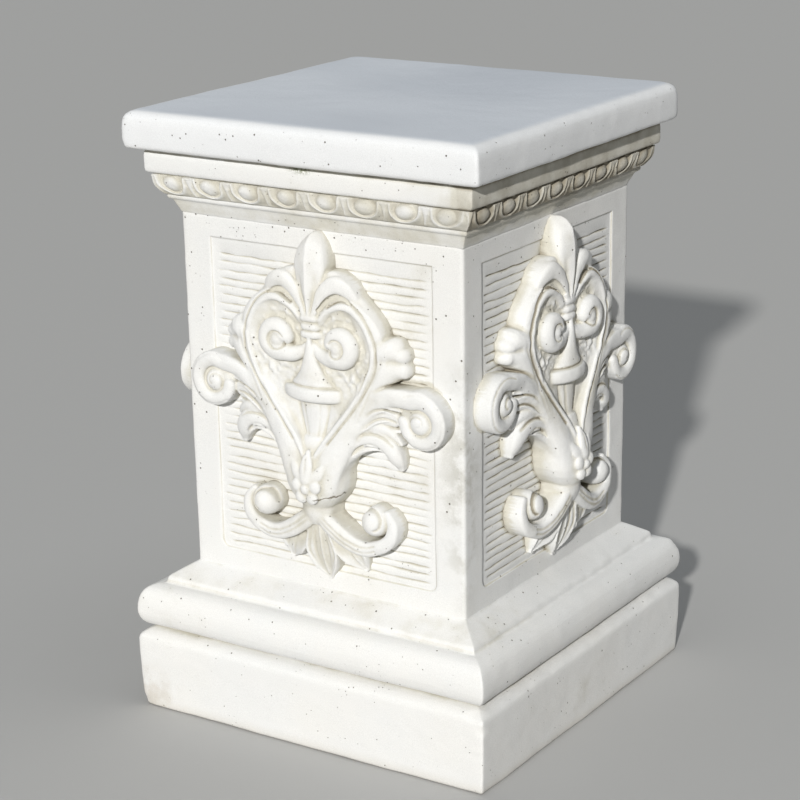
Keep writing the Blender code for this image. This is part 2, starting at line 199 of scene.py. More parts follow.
def ring(half, edge, plan, corners=(1.0, 1.0, 1.0, 1.0)):
    """The places of a rounded square in plan, with their outward directions and side places.

    corners holds each corner's radius as a share of the edge, from the front one round.
    """
    rings = []
    for side in range(SIDES):
        before = edge * corners[side - 1]
        after = edge * corners[side]
        rows = []
        for share, turn in plan:
            if turn is None:
                across = -(half - before) + (share + 1.0) / 2.0 * (2.0 * half - before - after)
                rows.append((across, -half, 0.0, -1.0, across))
            else:
                angle = -math.pi / 2 + turn * math.pi / 2
                nx, ny = math.cos(angle), math.sin(angle)
                rows.append((half - after + after * nx, -half + after + after * ny, nx, ny, half))
        x, y, nx, ny, across = np.array(rows).T
        turn = side * math.pi / 2
        rings.append(np.stack([*swung(x, y, turn), *swung(nx, ny, turn), across], 1))
    return np.vstack(rings)


def loft_faces(ring_count, around, closed=False):
    """Faces between rings of places, and if closed, between the last ring and the first."""
    rows = np.arange(ring_count if closed else ring_count - 1)[:, None]
    beyond = (rows + 1) % ring_count * around
    rows = rows * around
    here = np.arange(around)[None, :]
    there = (here + 1) % around
    quads = np.stack([rows + here, beyond + here, beyond + there, rows + there], -1)
    return quads.reshape(-1, 4)


def cap_faces(start, around):
    """Faces that close a ring of places, in strips between opposite sides."""
    first = start + np.arange(around // 2 - 1)
    last = start + around - 1 - np.arange(around // 2 - 1)
    return np.stack([first, first + 1, last - 1, last], 1)


def solid_faces(ring_count, around):
    """Faces of a downward run of rings, closed at both ends."""
    bottom = cap_faces((ring_count - 1) * around, around)
    return np.vstack([loft_faces(ring_count, around), cap_faces(0, around), bottom[:, ::-1]])


# Rows of a profile, how far apart, and how far apart where it lies flat inside this half width
ROW_GAP = 1.8
FLAT_GAP = 9.0
FLAT_HALF = 137.0


def profile_rows(points):
    """A profile's rows of half width, level and corner radius, wider apart on the flats."""
    rows = []
    for a, b in zip(points, points[1:]):
        step = FLAT_GAP if min(a[0], b[0]) < FLAT_HALF else ROW_GAP
        steps = max(1, math.ceil(math.hypot(b[0] - a[0], b[1] - a[1]) / step))
        for i in range(steps):
            rows.append(tuple(np.array(a) + (np.array(b) - np.array(a)) * i / steps))
    return rows + [points[-1]]


def dent(places, centre, radius, depth):
    """Knocks a soft hollow into the stone around a place, towards the pedestal's axis."""
    gap = np.linalg.norm((places - np.array(centre)) / radius, axis=1)
    push = depth * np.clip(1.0 - gap**2, 0.0, 1.0) ** 1.5
    inward = -places.copy()
    inward[:, 2] *= 0.25
    inward /= np.linalg.norm(inward, axis=1, keepdims=True) + 1e-9
    places += inward * push[:, None]


# Profiles of the courses as rows of (half width, level, corner radius), from the top down
SLAB_POINTS = [
    (20, 539.8, 4), (60, 539.8, 6), (110, 539.85, 6), (150, 539.9, 5), (162.5, 539.8, 5),
    (167.4, 539.3, 5), (170.6, 538.1, 5), (173.0, 536.2, 5), (174.6, 533.6, 5), (175.4, 530, 5),
    (175.8, 525, 5), (175.8, 517, 5), (175.6, 512, 5), (175.2, 510, 5), (174, 508.4, 5),
    (171.5, 507.4, 5), (166, 506.9, 4), (163.2, 506.4, 3), (161.4, 505.7, 2.4), (160.9, 504.8, 2),
    (161.9, 503.7, 2), (162.4, 501, 2), (162.4, 496, 2), (162.3, 490, 2), (161.9, 487.7, 2),
    (160.9, 486.4, 2), (158.6, 485.6, 2), (156.6, 485.0, 2), (155.7, 483.6, 1.5), (154.6, 480, 1.5),
    (152.8, 475, 1.5), (151.2, 471, 1.5), (150.2, 469, 1.5), (149.0, 467.7, 1.5), (148.9, 466.4, 1.5),
    (149.4, 464.8, 1.5), (149.0, 463.2, 1.5), (147.9, 462.2, 1.5), (146.3, 461.6, 1.5),
    (145.2, 459.6, 1.8), (144.2, 456.9, 2.2), (143.2, 454.6, 2.4), (142.3, 452.8, 2.4),
    (141.9, 451.4, 2.4), (141.2, 450.3, 2.4), (140.4, 449.4, 2.4), (138.5, 447.5, 2), (120, 446, 2),
    (60, 446, 2), (20, 446, 2),
]
BASE_POINTS = [
    (20, 137, 3), (60, 137, 3), (120, 137, 3), (138.2, 135.5, 3), (139.6, 133.8, 2.6),
    (140.8, 132.5, 2.2), (143.2, 131.1, 1.8), (147.8, 128.2, 1.6), (153, 124.9, 1.6), (157.2, 122.2, 1.6),
    (158.9, 120.9, 1.6), (159.7, 119.2, 1.6), (160.0, 117.2, 1.6), (160.6, 115.6, 1.6),
    (162.2, 115.0, 1.6), (165.2, 114.9, 1.6), (169.0, 113.9, 1.6), (172.6, 112.2, 1.8), (175.6, 109.4, 2),
    (177.8, 105.9, 2.2), (179.2, 101.6, 2.4), (180.1, 97, 2.6), (180.3, 92.6, 2.6), (180.1, 88.6, 2.6),
    (179.2, 84.9, 2.6), (177.6, 81.6, 2.4), (175.2, 78.9, 2.2), (172.4, 77.5, 2), (169.4, 76.9, 2),
    (165.2, 76.2, 2), (165.2, 75.0, 2), (169.6, 74.1, 2), (173.4, 72.6, 2.2), (176.2, 70.6, 2.4),
    (178.4, 68.6, 2.6), (179.7, 66.6, 2.8), (180.2, 64.0, 2.8), (180.3, 60, 2.8), (180.1, 48, 2.8),
    (179.5, 30, 2.8), (178.7, 12, 2.8), (178.3, 4, 2.8), (177.9, 1.4, 2.8), (176.9, 0.3, 2.8),
    (175.2, 0.0, 2.8), (150, 0.0, 2.8), (90, 0.0, 2.8), (20, 0.0, 2.8),
]

# Shares of the corner radius at each corner, from the front one round
SLAB_CORNERS = (0.55, 2.8, 1.3, 1.2)
BASE_CORNERS = (0.8, 1.2, 1.3, 1.4)

COURSE_COLUMNS = 84
CORNER_STEPS = 4


def finished_course(name, points, seed, corners, coarse_levels, dents, box):
    """A run of mouldings, a little uneven as cast by hand, closed at top and bottom.

    coarse_levels are the levels between which the surface is left rough, and box holds the
    half width, the lowest and the highest level that the course may reach.
    """
    plan = ring_plan(np.linspace(-1.0, 1.0, COURSE_COLUMNS), CORNER_STEPS)
    rows = profile_rows(points)
    around = len(plan) * SIDES
    rings = [(ring(half, edge, plan, corners), level) for half, level, edge in rows]
    places = np.vstack([
        np.stack([spots[:, 0], spots[:, 1], np.full(around, level)], 1) for spots, level in rings
    ])
    outward = np.vstack([spots[:, 2:4] for spots, _ in rings])
    uneven = roughness(places, (0.50, 60.0, seed), (0.26, 17.0, seed + 1), (0.12, 5.0, seed + 2))
    coarse = np.zeros(len(places))
    for low, high in coarse_levels:
        coarse += within(places[:, 2], low - 1.0, low, high, high + 1.0)
    uneven += coarse * roughness(places, (0.35, 4.0, seed + 5), (0.25, 9.0, seed + 6))
    places[:, :2] += outward * (uneven - 0.25)[:, None]
    places[:, 2] += roughness(places, (0.40, 45.0, seed + 3), (0.14, 12.0, seed + 4))
    for centre, radius, depth in dents:
        dent(places, centre, radius, depth)
    half, low, high = box
    places[:, :2] = np.clip(places[:, :2], -half, half)
    places[:, 2] = np.clip(places[:, 2], low, high)
    return mesh_object(name, places, solid_faces(len(rows), around), course_recess(places))


def band(level, middle, reach):
    """1 at the middle level, fading to nothing beyond its reach."""
    return np.exp(-(((level - middle) / reach) ** 2))


# Levels of the notches, which get painted shade, and of the dark joints between the courses
PLINTH_NOTCH = 75.9
TORUS_NOTCH = 116.4
DIE_SEAM = 133.4
FASCIA_JOINT = 485.4
SLAB_SEAM = 504.9


def course_recess(places):
    """How dark a place on the courses is painted, by its level and how far in it lies: painted shade under
    the cornice and in the notches, heavier on the +X side, a darker band above the torus, and dark joints.
    """
    x, y, level = places.T
    half = np.abs(places[:, :2]).max(1)
    ragged = 0.5 + 0.5 * rough(places, 16.0, 91) + 0.3 * rough(places, 5.0, 92)
    fascia = within(level, 484, 487, 504, 509)
    # Painted shade under the cornice, and on its fascia more towards the +X side, which the key light only
    # grazes
    under = 0.16 * within(level, 447, 451, 484, 487) + fascia * (0.03 + 0.13 * smooth_step(x, 70.0, 140.0))
    # Painted shade over the whole cornice of the +X side
    under += 0.32 * smooth_step(x, 141.0, 150.0) * (level > 447) * (level < 506)
    # Painted shade in the cove under the bead, and a darker band on the splay above the torus
    under += 0.05 * within(level, 450, 453, 460.5, 462.5) + 0.10 * within(level, 117, 122, 130, 134)
    # Painted shade in the notch under the torus and the fillet above it
    notch = band(level, PLINTH_NOTCH, 1.8) + 0.45 * band(level, TORUS_NOTCH, 1.5) * (half < 162)
    seam = band(level, SLAB_SEAM, 2.0) * (0.6 + 0.7 * ragged) + 0.5 * band(level, DIE_SEAM, 1.0) * ragged
    stray = rough(places * np.array([1.0, 1.0, 0.0]), 9.0, 93)
    near_corner = smooth_step(x - y, 245.0, 270.0)
    joint = band(level, FASCIA_JOINT + 0.9 * stray, 0.9) * (half < 162.5)
    joint *= (0.4 + 0.5 * ragged) * (1.0 + 0.9 * near_corner)
    return 0.40 + under + 0.42 * notch + 0.50 * seam + 0.40 * joint


# Die with its sunk, raked panels

def panel_gap(across, level):
    """Distance inside the panel's outline, which has rounded lower corners."""
    side = PANEL_HALF - np.abs(across)
    foot = level - PANEL_LOW
    head = PANEL_HIGH - level
    inner = np.minimum(side, foot)
    beyond = np.maximum(PANEL_CORNER - side, 0), np.maximum(PANEL_CORNER - foot, 0)
    corner = PANEL_CORNER - np.hypot(*beyond)
    inner = np.where((side < PANEL_CORNER) & (foot < PANEL_CORNER), corner, inner)
    return np.minimum(inner, head)


def along_line(line, across, side):
    """Places for the noise along a raked line, so that no two lines are alike."""
    return np.stack([across, np.full_like(across, line * 37.0), side * 50.0], -1)


def wander(line, across, side):
    """How far a raked line strays from its level."""
    return roughness(along_line(line, across, side), (0.9, 38.0, 3), (0.4, 12.0, 4), (0.16, 5.0, 9))


def raked(line, across, side):
    """Depth of a raked line along its length: it is broken in places and stops short of the border."""
    spot = along_line(line, across, side)
    depth = 0.95 + 0.55 * rough(spot, 14.0, 5) + 0.5 * rough(spot, 6.0, 6)
    reach = RAKE_REACH + 3.5 * rough(np.stack([spot[..., 1], side * 50.0, across * 0.0], -1), 3.0, 8)
    return np.clip(depth, 0.15, 1.7) * smooth_step(reach - np.abs(across), 0.0, 2.5)


def die_columns():
    """Places along a side, from -1 to 1, close together at the panel's border."""
    flat = DIE_TOP_HALF - DIE_EDGE
    plain = list(np.arange(-103.0, 103.1, 3.5))
    border = [
        -137.4, -134, -129, -124, -119, -115.5, -113, -111.8, -111.2, -110.7, -110.2, -109.6, -108.8,
        -107.4, -105.4,
    ]
    places = border + plain + [-place for place in reversed(border)]
    return np.array(places) / flat


# Rows that make one raked line: places above or below its middle, and shares of its depth
LINE_ROWS = ((-3.5, -0.10), (-1.8, 0.0), (-0.75, 0.22), (0.0, 1.0), (0.5, 0.30), (1.5, 0.0))


def die_rows():
    """Rows of the die: level, number of the raked line it belongs to or None, and share of its depth."""
    rows = [(level, None, 0.0) for level in np.arange(DIE_FOOT - 1.5, PANEL_LOW - 3.0, 2.8)]
    rows += [(PANEL_LOW + step, None, 0.0) for step in (-2.0, -0.9, -0.3, 0.2, 0.7, 1.3, 2.2)]
    count = int((PANEL_HIGH - PANEL_LOW - 8.0) / RAKE_PITCH)
    start = PANEL_LOW + 3.2 + 3.6
    for line in range(count):
        rows += [(start + RAKE_PITCH * line + step, line, share) for step, share in LINE_ROWS]
    rows += [(PANEL_HIGH + step, None, 0.0) for step in (-2.2, -1.3, -0.7, -0.2, 0.3, 0.9, 2.0)]
    rows += [(level, None, 0.0) for level in np.arange(PANEL_HIGH + 4.5, DIE_TOP + 2.0, 2.8)]
    return rows


# Dirt and painted shade of the die: dirt everywhere and in the sunk panel; on each side, dirt with painted
# shade in its lines and its border, and painted shade by the carving, heavier on the +X side, which the key
# light only grazes
DIE_DIRT = 0.40
PANEL_DIRT = 0.06
RAKE_DIRT_AND_SHADE = (0.46, 0.782, 0.46, 0.46)
BORDER_DIRT_AND_SHADE = (0.34, 0.60, 0.34, 0.34)
NEAR_SHADE = (0.75, 1.2, 0.75, 0.75)


def die_shaft(shelter):
    """The die: its faces carry the sunk panel and the raked lines."""
    plan = ring_plan(die_columns(), 3)
    table = die_rows()
    around = len(plan) * SIDES
    side = np.repeat(np.arange(SIDES), len(plan))
    places = []
    recess = []
    for level, line, share in table:
        rows = ring(face_half(level), DIE_EDGE, plan)
        across = rows[:, 4]
        groove = np.zeros(around)
        stray = np.zeros(around)
        if line is not None:
            inner = smooth_step(PANEL_HALF - np.abs(across), 1.0, 9.0)
            stray = wander(line, across, side)
            if share < 0.0:
                stray = 0.5 * (stray + wander(line - 1, across, side))
            stray *= inner
            groove = share * raked(line, across, side)
        height = level + stray
        gap = panel_gap(across, height)
        sink = PANEL_SINK * smooth_step(gap, -0.3, 1.6)
        spots = np.stack([rows[:, 0], rows[:, 1], height], 1)
        score = np.clip(0.75 + 0.5 * rough(spots, 20.0, 34), 0.2, 1.2) * np.exp(-(((gap - 0.4) / 0.5) ** 2))
        groove *= gap > 1.5
        uneven = roughness(spots, (0.32, 55.0, 31), (0.18, 14.0, 32), (0.08, 4.0, 33))
        out = uneven - 0.1 - sink - 1.5 * groove - 0.6 * score
        spots[:, :2] += rows[:, 2:4] * out[:, None]
        places.append(spots)
        # Dirt, with painted shade in the raked lines, in the panel's border line and beside the carving, more
        # of it on the +X side
        dirt_and_shade = DIE_DIRT + PANEL_DIRT * (gap > 0) + np.array(RAKE_DIRT_AND_SHADE)[side] * np.clip(groove, 0.0, 1.4)
        dirt_and_shade += np.array(BORDER_DIRT_AND_SHADE)[side] * score + np.array(NEAR_SHADE)[side] * shelter(across, height)
        recess.append(dirt_and_shade)
    faces = solid_faces(len(table), around)[:, ::-1]
    return mesh_object("die_shaft", np.vstack(places), faces, np.concatenate(recess))


# Egg-and-dart course

# Its eggs and their shells, by lengths across and by levels above the foot of the ovolo
EGG_PITCH = 36.5
EGG_RUN = 146.0
EGG_REAR = 140.0
EGG_WIDTH = 8.9
EGG_HEIGHT = 7.2
EGG_LEVEL = 10.9
SHELL_RADIUS = 9.8
SHELL_LEVEL = 11.8

# Half width and level where the ovolo begins and ends
OVOLO_LOW = (150.0, 466.6)
OVOLO_HIGH = (156.2, 484.4)

# Painted shade on the eggs of each side: much darker on the +X side, which lies in shade under the cornice, a
# little lighter on the front, which the key light meets head-on, and a little darker on the other two
EGG_SHADE = (-0.05, 0.30, 0.06, 0.02)


def egg_relief(across, share):
    """How far the egg-and-dart stands out from the ovolo, and its dirt and painted shade, with more painted
    shade in the hollows around the eggs and darts.
    """
    high = (OVOLO_HIGH[1] - OVOLO_LOW[1]) * share
    unit = np.floor(across / EGG_PITCH)
    here = np.stack([unit * 7.3, unit * 0 + 2.0, unit * 0], -1)
    shift = 0.8 * rough(here, 1.0, 22)
    size = 1.0 + 0.07 * rough(here, 1.0, 23)
    side = (across / EGG_PITCH - unit - 0.5) * EGG_PITCH
    spot = np.stack([across, high * 1.3, high * 0], -1)
    side = side + shift * (1.0 - np.abs(side) / (EGG_PITCH / 2)) + 0.5 * rough(spot, 8.0, 24)
    wobble = 0.30 * rough(spot, 9.0, 21) + 0.22 * rough(spot, 3.0, 25)
    x = np.abs(side)
    egg = 1.0 - (x / (EGG_WIDTH * size)) ** 2 - ((high - EGG_LEVEL) / EGG_HEIGHT) ** 2
    egg = np.sqrt(np.clip(egg, 0.0, 1.0))
    down = np.minimum(high - SHELL_LEVEL, 0.0)
    shell_gap = np.hypot(x * SHELL_RADIUS / 12.6, down) - SHELL_RADIUS
    shell_gap -= 0.10 * np.maximum(high - SHELL_LEVEL, 0.0)
    rim = np.exp(-((shell_gap / np.where(shell_gap > 0, 2.1, 1.2)) ** 2))
    middle = EGG_PITCH / 2 - x
    dart_width = np.clip(0.9 + 0.17 * (high - 1.0), 0.6, 3.6)
    dart = np.clip(1.0 - (middle / dart_width) ** 2, 0.0, 1.0) ** 0.7
    worn = 1.0 - 0.6 * smooth_step(across, 92.0, 128.0)
    out = worn * (4.3 * egg + 3.5 * rim + 3.0 * dart) + (1.0 - worn) * 1.8 + wobble
    out *= within(share, -0.02, 0.10, 0.96, 1.02)
    # Dirt and painted shade, darker where neither egg, shell nor dart stands out
    recess = 0.60 + 0.36 * (1.0 - np.clip(egg + 0.9 * rim + 0.8 * dart, 0, 1))
    return out, recess


def egg_course():
    """The egg-and-dart run as one ring round the four sides, mitred at the corners."""
    columns = 400
    rows = 30
    place, share = np.meshgrid(np.linspace(-1.0, 1.0, columns)[:-1], np.linspace(0.0, 1.0, rows))
    half = OVOLO_LOW[0] + (OVOLO_HIGH[0] - OVOLO_LOW[0]) * share + 1.6 * np.sin(math.pi * share)
    level = OVOLO_LOW[1] + (OVOLO_HIGH[1] - OVOLO_LOW[1]) * share
    out, recess = egg_relief(place * EGG_RUN, share)
    mitre = smooth_step(np.abs(place), 0.985, 1.0)
    out = out * (1.0 - mitre) + 1.6 * np.sin(math.pi * share) * mitre
    across = place * (half + out * smooth_step(np.abs(place), 0.93, 1.0))
    rear = np.full_like(place[:1], EGG_REAR)
    across = np.vstack([place[:1] * EGG_REAR, across, place[:1] * EGG_REAR])
    depth = np.vstack([rear, half + out, rear])
    level = np.vstack([level[:1], level, level[-1:]])
    recess = np.vstack([recess[:1], recess, recess[-1:]])
    rings = []
    shades = []
    for side in range(SIDES):
        rings.append(np.stack([*swung(across, -depth, side * math.pi / 2), level], -1))
        # Painted shade for the side
        shades.append(recess + EGG_SHADE[side])
    places = np.concatenate(rings, 1).reshape(-1, 3)
    faces = loft_faces(rows + 2, (columns - 1) * SIDES, True)[:, ::-1]
    return mesh_object("egg_course", places, faces, np.concatenate(shades, 1).ravel())


# Carving: a field of distances

LOW_CORNER = (0.0, -6.0, -5.0)
HIGH_CORNER = (138.0, 313.0, 43.0)
FAR = 6.0

axes = [np.arange(low, high, GRID_PITCH) for low, high in zip(LOW_CORNER, HIGH_CORNER)]
field = np.full([len(axis) for axis in axes], FAR, np.float32)
# Dirt and painted shade along the carving's fine lines
line_dirt_and_shade = np.zeros_like(field)


def window(low, high):
    """The grid's slices and places that hold a box of the drawing."""
    cuts = []
    for axis, a, b in zip(axes, low, high):
        first = int(np.clip(np.searchsorted(axis, a) - 1, 0, len(axis) - 1))
        last = int(np.clip(np.searchsorted(axis, b) + 1, first + 1, len(axis)))
        cuts.append(slice(first, last))
    spots = [axis[cut].astype(np.float32) for axis, cut in zip(axes, cuts)]
    return tuple(cuts), spots


def blended(a, b, k):
    """The nearer of two distances, run together where they are alike."""
    h = np.maximum(k - np.abs(a - b), 0.0) / k
    return np.minimum(a, b) - h * h * k * 0.25


def join(cuts, distance, k=1.2):
    """Adds a form, which hides the dirt and painted shade of the lines that it covers."""
    field[cuts] = blended(field[cuts], distance.astype(np.float32), k)
    line_dirt_and_shade[cuts] *= distance > 0.9


def carve(cuts, distance, k=0.8):
    """Takes a form away."""
    field[cuts] = -blended(-field[cuts], distance.astype(np.float32), k)


def nearest(path, spots):
    """Distance in the drawing from each spot to a path, and the path's other values there."""
    a, b = path[:-1].astype(np.float32), path[1:].astype(np.float32)
    run = b[:, :2] - a[:, :2]
    length = np.maximum((run**2).sum(1), 1e-6)
    best = np.full(len(spots), 1e9, np.float32)
    values = np.zeros((len(spots), path.shape[1] - 2), np.float32)
    for i in range(len(a)):
        rel = spots - a[i, :2]
        t = np.clip((rel @ run[i]) / length[i], 0.0, 1.0)
        gap = ((rel - t[:, None] * run[i]) ** 2).sum(1)
        near = gap < best
        best[near] = gap[near]
        values[near] = a[i, 2:] + (b[i, 2:] - a[i, 2:]) * t[near, None]
    return np.sqrt(best), values


def near_path(points, margin, gap=2.0):
    """Slices and out places around a path of the drawing, with maps of its distance and its values."""
    path = through(points, gap)
    low, high = path[:, :2].min(0) - margin, path[:, :2].max(0) + margin
    cuts, (across, up, out) = window((*low, LOW_CORNER[2]), (*high, HIGH_CORNER[2]))
    grid = np.stack(np.meshgrid(across, up, indexing="ij"), -1)
    gap_map, values = nearest(path, grid.reshape(-1, 2))
    shape = grid.shape[:2] + (1,)
    return cuts, out, gap_map.reshape(shape), [value.reshape(shape) for value in values.T]


def widest(points):
    """The largest half width along a path."""
    return max(row[2] for row in points)


def ridge(points, flat=0.6, under=0.0, k=1.2):
    """A ridge along (across, up, half width, height) with an oval crest over upright walls.

    flat is the crest's rise as a share of the half width, and under narrows the walls
    towards their foot.
    """
    cuts, out, gap, (width, height) = near_path(points, widest(points) + 4.0)
    spring = height - flat * width
    above = np.maximum(out - spring, 0.0) / flat
    below = np.maximum(spring - out, 0.0)
    join(cuts, np.sqrt(gap**2 + above**2) - np.maximum(width - under * below, 0.4), k)


def scooped(points, cup, rib=0.6, k=0.6):
    """A leaf along (across, up, half width, height at its edges), hollowed by cup with a fine rib."""
    cuts, out, gap, (width, height) = near_path(points, widest(points) + 4.0)
    share = np.clip(gap / width, 0.0, 1.3)
    top = height - cup * (1.0 - share**2) + rib * np.exp(-((gap / 0.9) ** 2))
    join(cuts, -blended(width - gap, top - out, 1.6), k)


def gouge(points, k=0.7):
    """A round-bottomed channel along (across, up, radius, height of the gouge's middle)."""
    cuts, out, gap, (radius, height) = near_path(points, widest(points) + 3.0)
    carve(cuts, np.sqrt(gap**2 + (out - height) ** 2) - radius, k)


def incise(points, width=0.9, least=-9.0, dirt_and_shade=0.13):
    """A fine line along (across, up, depth), darkened with dirt and painted shade, pressed into whatever
    surface is there.
    """
    cuts, out, gap, (depth,) = near_path(points, 4.0 * width, 1.5)
    line = depth * np.exp(-((gap / width) ** 2))
    field[cuts] += (line * (out > least)).astype(np.float32)
    # Dirt with painted shade along the line
    stain_and_shade = dirt_and_shade * np.clip(line, 0.0, 1.6) * (out > least)
    line_dirt_and_shade[cuts] = np.maximum(line_dirt_and_shade[cuts], stain_and_shade.astype(np.float32))


def ball(across, up, out, radius, flat=1.0, k=0.8, walled=False):
    """A ball, or if walled, a domed stub with upright sides below its middle."""
    reach = radius + 4.0
    cuts, (xs, ups, outs) = window(
        (across - reach, up - reach, LOW_CORNER[2]), (across + reach, up + reach, HIGH_CORNER[2]),
    )
    x = (xs - across)[:, None, None]
    y = (ups - up)[None, :, None]
    z = (outs - out)[None, None, :] / flat
    if walled:
        z = np.maximum(z, 0.0)
    join(cuts, np.sqrt(x * x + y * y + z * z) - radius, k)


def turned(profile, flat, k=1.0):
    """A body turned about the middle line, from rows of (up, radius, front's height)."""
    rows = np.array(profile, float)
    rows = rows[np.argsort(rows[:, 0])]
    low, high = rows.min(0), rows.max(0)
    cuts, (xs, ups, outs) = window(
        (0.0, low[0] - 4.0, LOW_CORNER[2]), (high[1] + 4.0, high[0] + 4.0, HIGH_CORNER[2]),
    )
    radius = np.interp(ups, rows[:, 0], rows[:, 1])
    front = np.interp(ups, rows[:, 0], rows[:, 2])
    slope = np.gradient(radius, ups) if len(ups) > 1 else np.zeros_like(radius)
    x = xs[:, None, None]
    spring = (front - flat * radius)[None, :, None]
    above = np.maximum(outs[None, None, :] - spring, 0.0) / flat
    distance = (np.sqrt(x * x + above**2) - radius[None, :, None]) / np.sqrt(1.0 + slope**2)[None, :, None]
    ends = np.maximum(rows[0, 0] - ups, ups - rows[-1, 0])[None, :, None]
    join(cuts, np.maximum(distance, ends), k)


def closed_line(points, gap=2.0):
    """A smooth closed outline through the given places."""
    return curve(np.array([points[-1], *points, *points[:2]], float), gap)


def outline_gap(outline, spots):
    """Signed distance in the drawing to a closed outline, less than nothing inside it."""
    ring_line = np.vstack([outline, outline[:1]])
    gap, _ = nearest(np.hstack([ring_line, np.zeros((len(ring_line), 1))]), spots)
    inside = np.zeros(len(spots), bool)
    for (x0, y0), (x1, y1) in zip(ring_line, ring_line[1:]):
        if y0 == y1:
            continue
        crosses = (spots[:, 1] < y0) != (spots[:, 1] < y1)
        where = x0 + (spots[:, 1] - y0) * (x1 - x0) / (y1 - y0)
        inside ^= crosses & (spots[:, 0] < where)
    return np.where(inside, -gap, gap)


def plate(outline, top, soft=3.0, k=1.2):
    """A slab of the outline's shape whose top is a function of the place and the edge's distance."""
    line = closed_line(outline)
    low, high = line.min(0) - 4.0, line.max(0) + 4.0
    cuts, (xs, ups, outs) = window((*low, LOW_CORNER[2]), (*high, HIGH_CORNER[2]))
    grid = np.stack(np.meshgrid(xs, ups, indexing="ij"), -1)
    gap = outline_gap(line, grid.reshape(-1, 2)).reshape(grid.shape[:2])
    height = top(grid[..., 0], grid[..., 1], -gap)
    join(cuts, -blended(-gap[..., None], height[..., None] - outs, soft), k)


def spiral(middle, radii, angles, widths, heights, steps=10):
    """Rows along a spiral, with its radius, width and height changing evenly."""
    rows = []
    for i in range(steps + 1):
        t = i / steps
        angle = math.radians(angles[0] + (angles[1] - angles[0]) * t)
        radius = radii[0] + (radii[1] - radii[0]) * t
        rows.append((
            middle[0] + radius * math.cos(angle), middle[1] + radius * math.sin(angle),
            widths[0] + (widths[1] - widths[0]) * t, heights[0] + (heights[1] - heights[0]) * t,
        ))
    return rows


def incise_spiral(middle, radii, angles, depth, steps, *line):
    """A spiral pressed in as any other fine line is."""
    rows = spiral(middle, radii, angles, (depth, depth), (0, 0), steps)
    incise([row[:3] for row in rows], *line)


# Forms of the carving

def ground():
    """The rough ground between the stems, a shallow dish just below their rims."""
    outline = [
        (-4, 238), (12, 243), (26, 250), (40, 250), (56, 238), (62, 222), (60, 197), (48, 177), (34, 159),
        (11, 132), (0, 118), (-6, 122),
    ]

    def top(across, up, inner):
        spots = np.stack([across, up, across * 0], -1)
        lumps = 1.2 * rough(spots, 4.6, 41) + 0.9 * rough(spots, 2.6, 42)
        keep = smooth_step(up, 165.0, 190.0)
        dish = 15.2 + 2.6 * np.exp(-np.maximum(inner, 0.0) / 6.0)
        return dish + lumps * (0.15 + 0.85 * keep)

    plate(outline, top, 1.0, 0.8)


def outer_leaves():
    """The leaf outside the stem: a shoulder under the petal and two lobes that swell outward."""
    ridge([
        (24, 262, 7.5, 12), (33, 257, 10, 15), (45, 244.5, 11.5, 16.5), (56, 231, 11.5, 17),
        (61, 221, 10, 16.5),
    ], 0.7)
    ridge([
        (46, 158, 8, 15.5), (56, 174, 11, 16.5), (64, 190, 12, 17.5), (69, 203, 11, 17), (71, 212, 8, 15),
    ], 0.85)
    ridge([(57, 206, 9, 17), (66, 214, 12, 19.5), (75, 217, 12, 18.5), (83, 213.5, 7.5, 14.5)], 1.1, 0.0, 4.0)
    ridge([
        (58, 193, 9, 17.5), (68, 199.5, 11, 18), (77, 203, 10.5, 16.5), (84.5, 203, 6.5, 13),
    ], 1.1, 0.0, 4.5)


def creases():
    """Folds pressed into the leaves once all of them are in place."""
    incise([(83, 234, 0.8), (75, 230, 1.5), (67, 224, 1.0), (60, 216, 0.1)], 2.6, dirt_and_shade=0.04)
    incise([(92, 208, 0.7), (84, 209.5, 0.9), (75, 209.5, 0.6), (67, 207, 0.1)], 2.0, dirt_and_shade=0.03)
    incise([(94, 196, 2.4), (85, 192.5, 3.4), (73, 188.5, 3.0), (61, 181.5, 0.5)], 1.5, dirt_and_shade=0.10)
    for shift, depth in ((8.5, 1.2), (14.0, 1.2), (19.0, 0.9)):
        incise([
            (81 - shift, 216 + 0.4 * shift, 0.1), (77 - shift, 203, depth), (71 - shift, 188, depth),
            (62 - 0.85 * shift, 171, depth), (52 - 0.7 * shift, 154, depth * 0.6),
            (43 - 0.5 * shift, 139, 0.1),
        ], 1.1, dirt_and_shade=0.06)


def petals():
    """The curled petal beside the bud, with a deep hollow under its lip."""
    ridge([
        (4, 240, 3.2, 20.5), (9, 251, 4.5, 21), (16, 261, 6, 21), (26, 267, 7.2, 20.5),
        (35, 264.5, 6.8, 19), (41.5, 257.5, 5.2, 16), (43.5, 251.5, 3, 12.5),
    ], 0.55, 0.05, 0.8)
    ridge([(12, 266, 7, 14), (20, 268.5, 8, 15.5), (29, 266, 7.5, 14)], 0.6, 0.0, 1.5)
    ridge([
        (6, 241, 4.5, 16), (13, 249, 6, 15.5), (22, 255, 7, 15), (32, 256, 7, 14.5), (42, 251, 6, 14),
    ], 0.3, 0.0, 1.0)
    gouge([
        (9, 244.5, 1.8, 18), (17, 252.6, 2.6, 16.8), (26, 257.4, 2.8, 16.2), (35, 256.4, 2.4, 15.6),
        (41, 251.5, 1.4, 15.4),
    ], 1.0)
    incise([(12, 279, 1.6), (9, 268, 2.2), (5.5, 254, 1.8), (2.5, 242, 0.8)], 1.0)


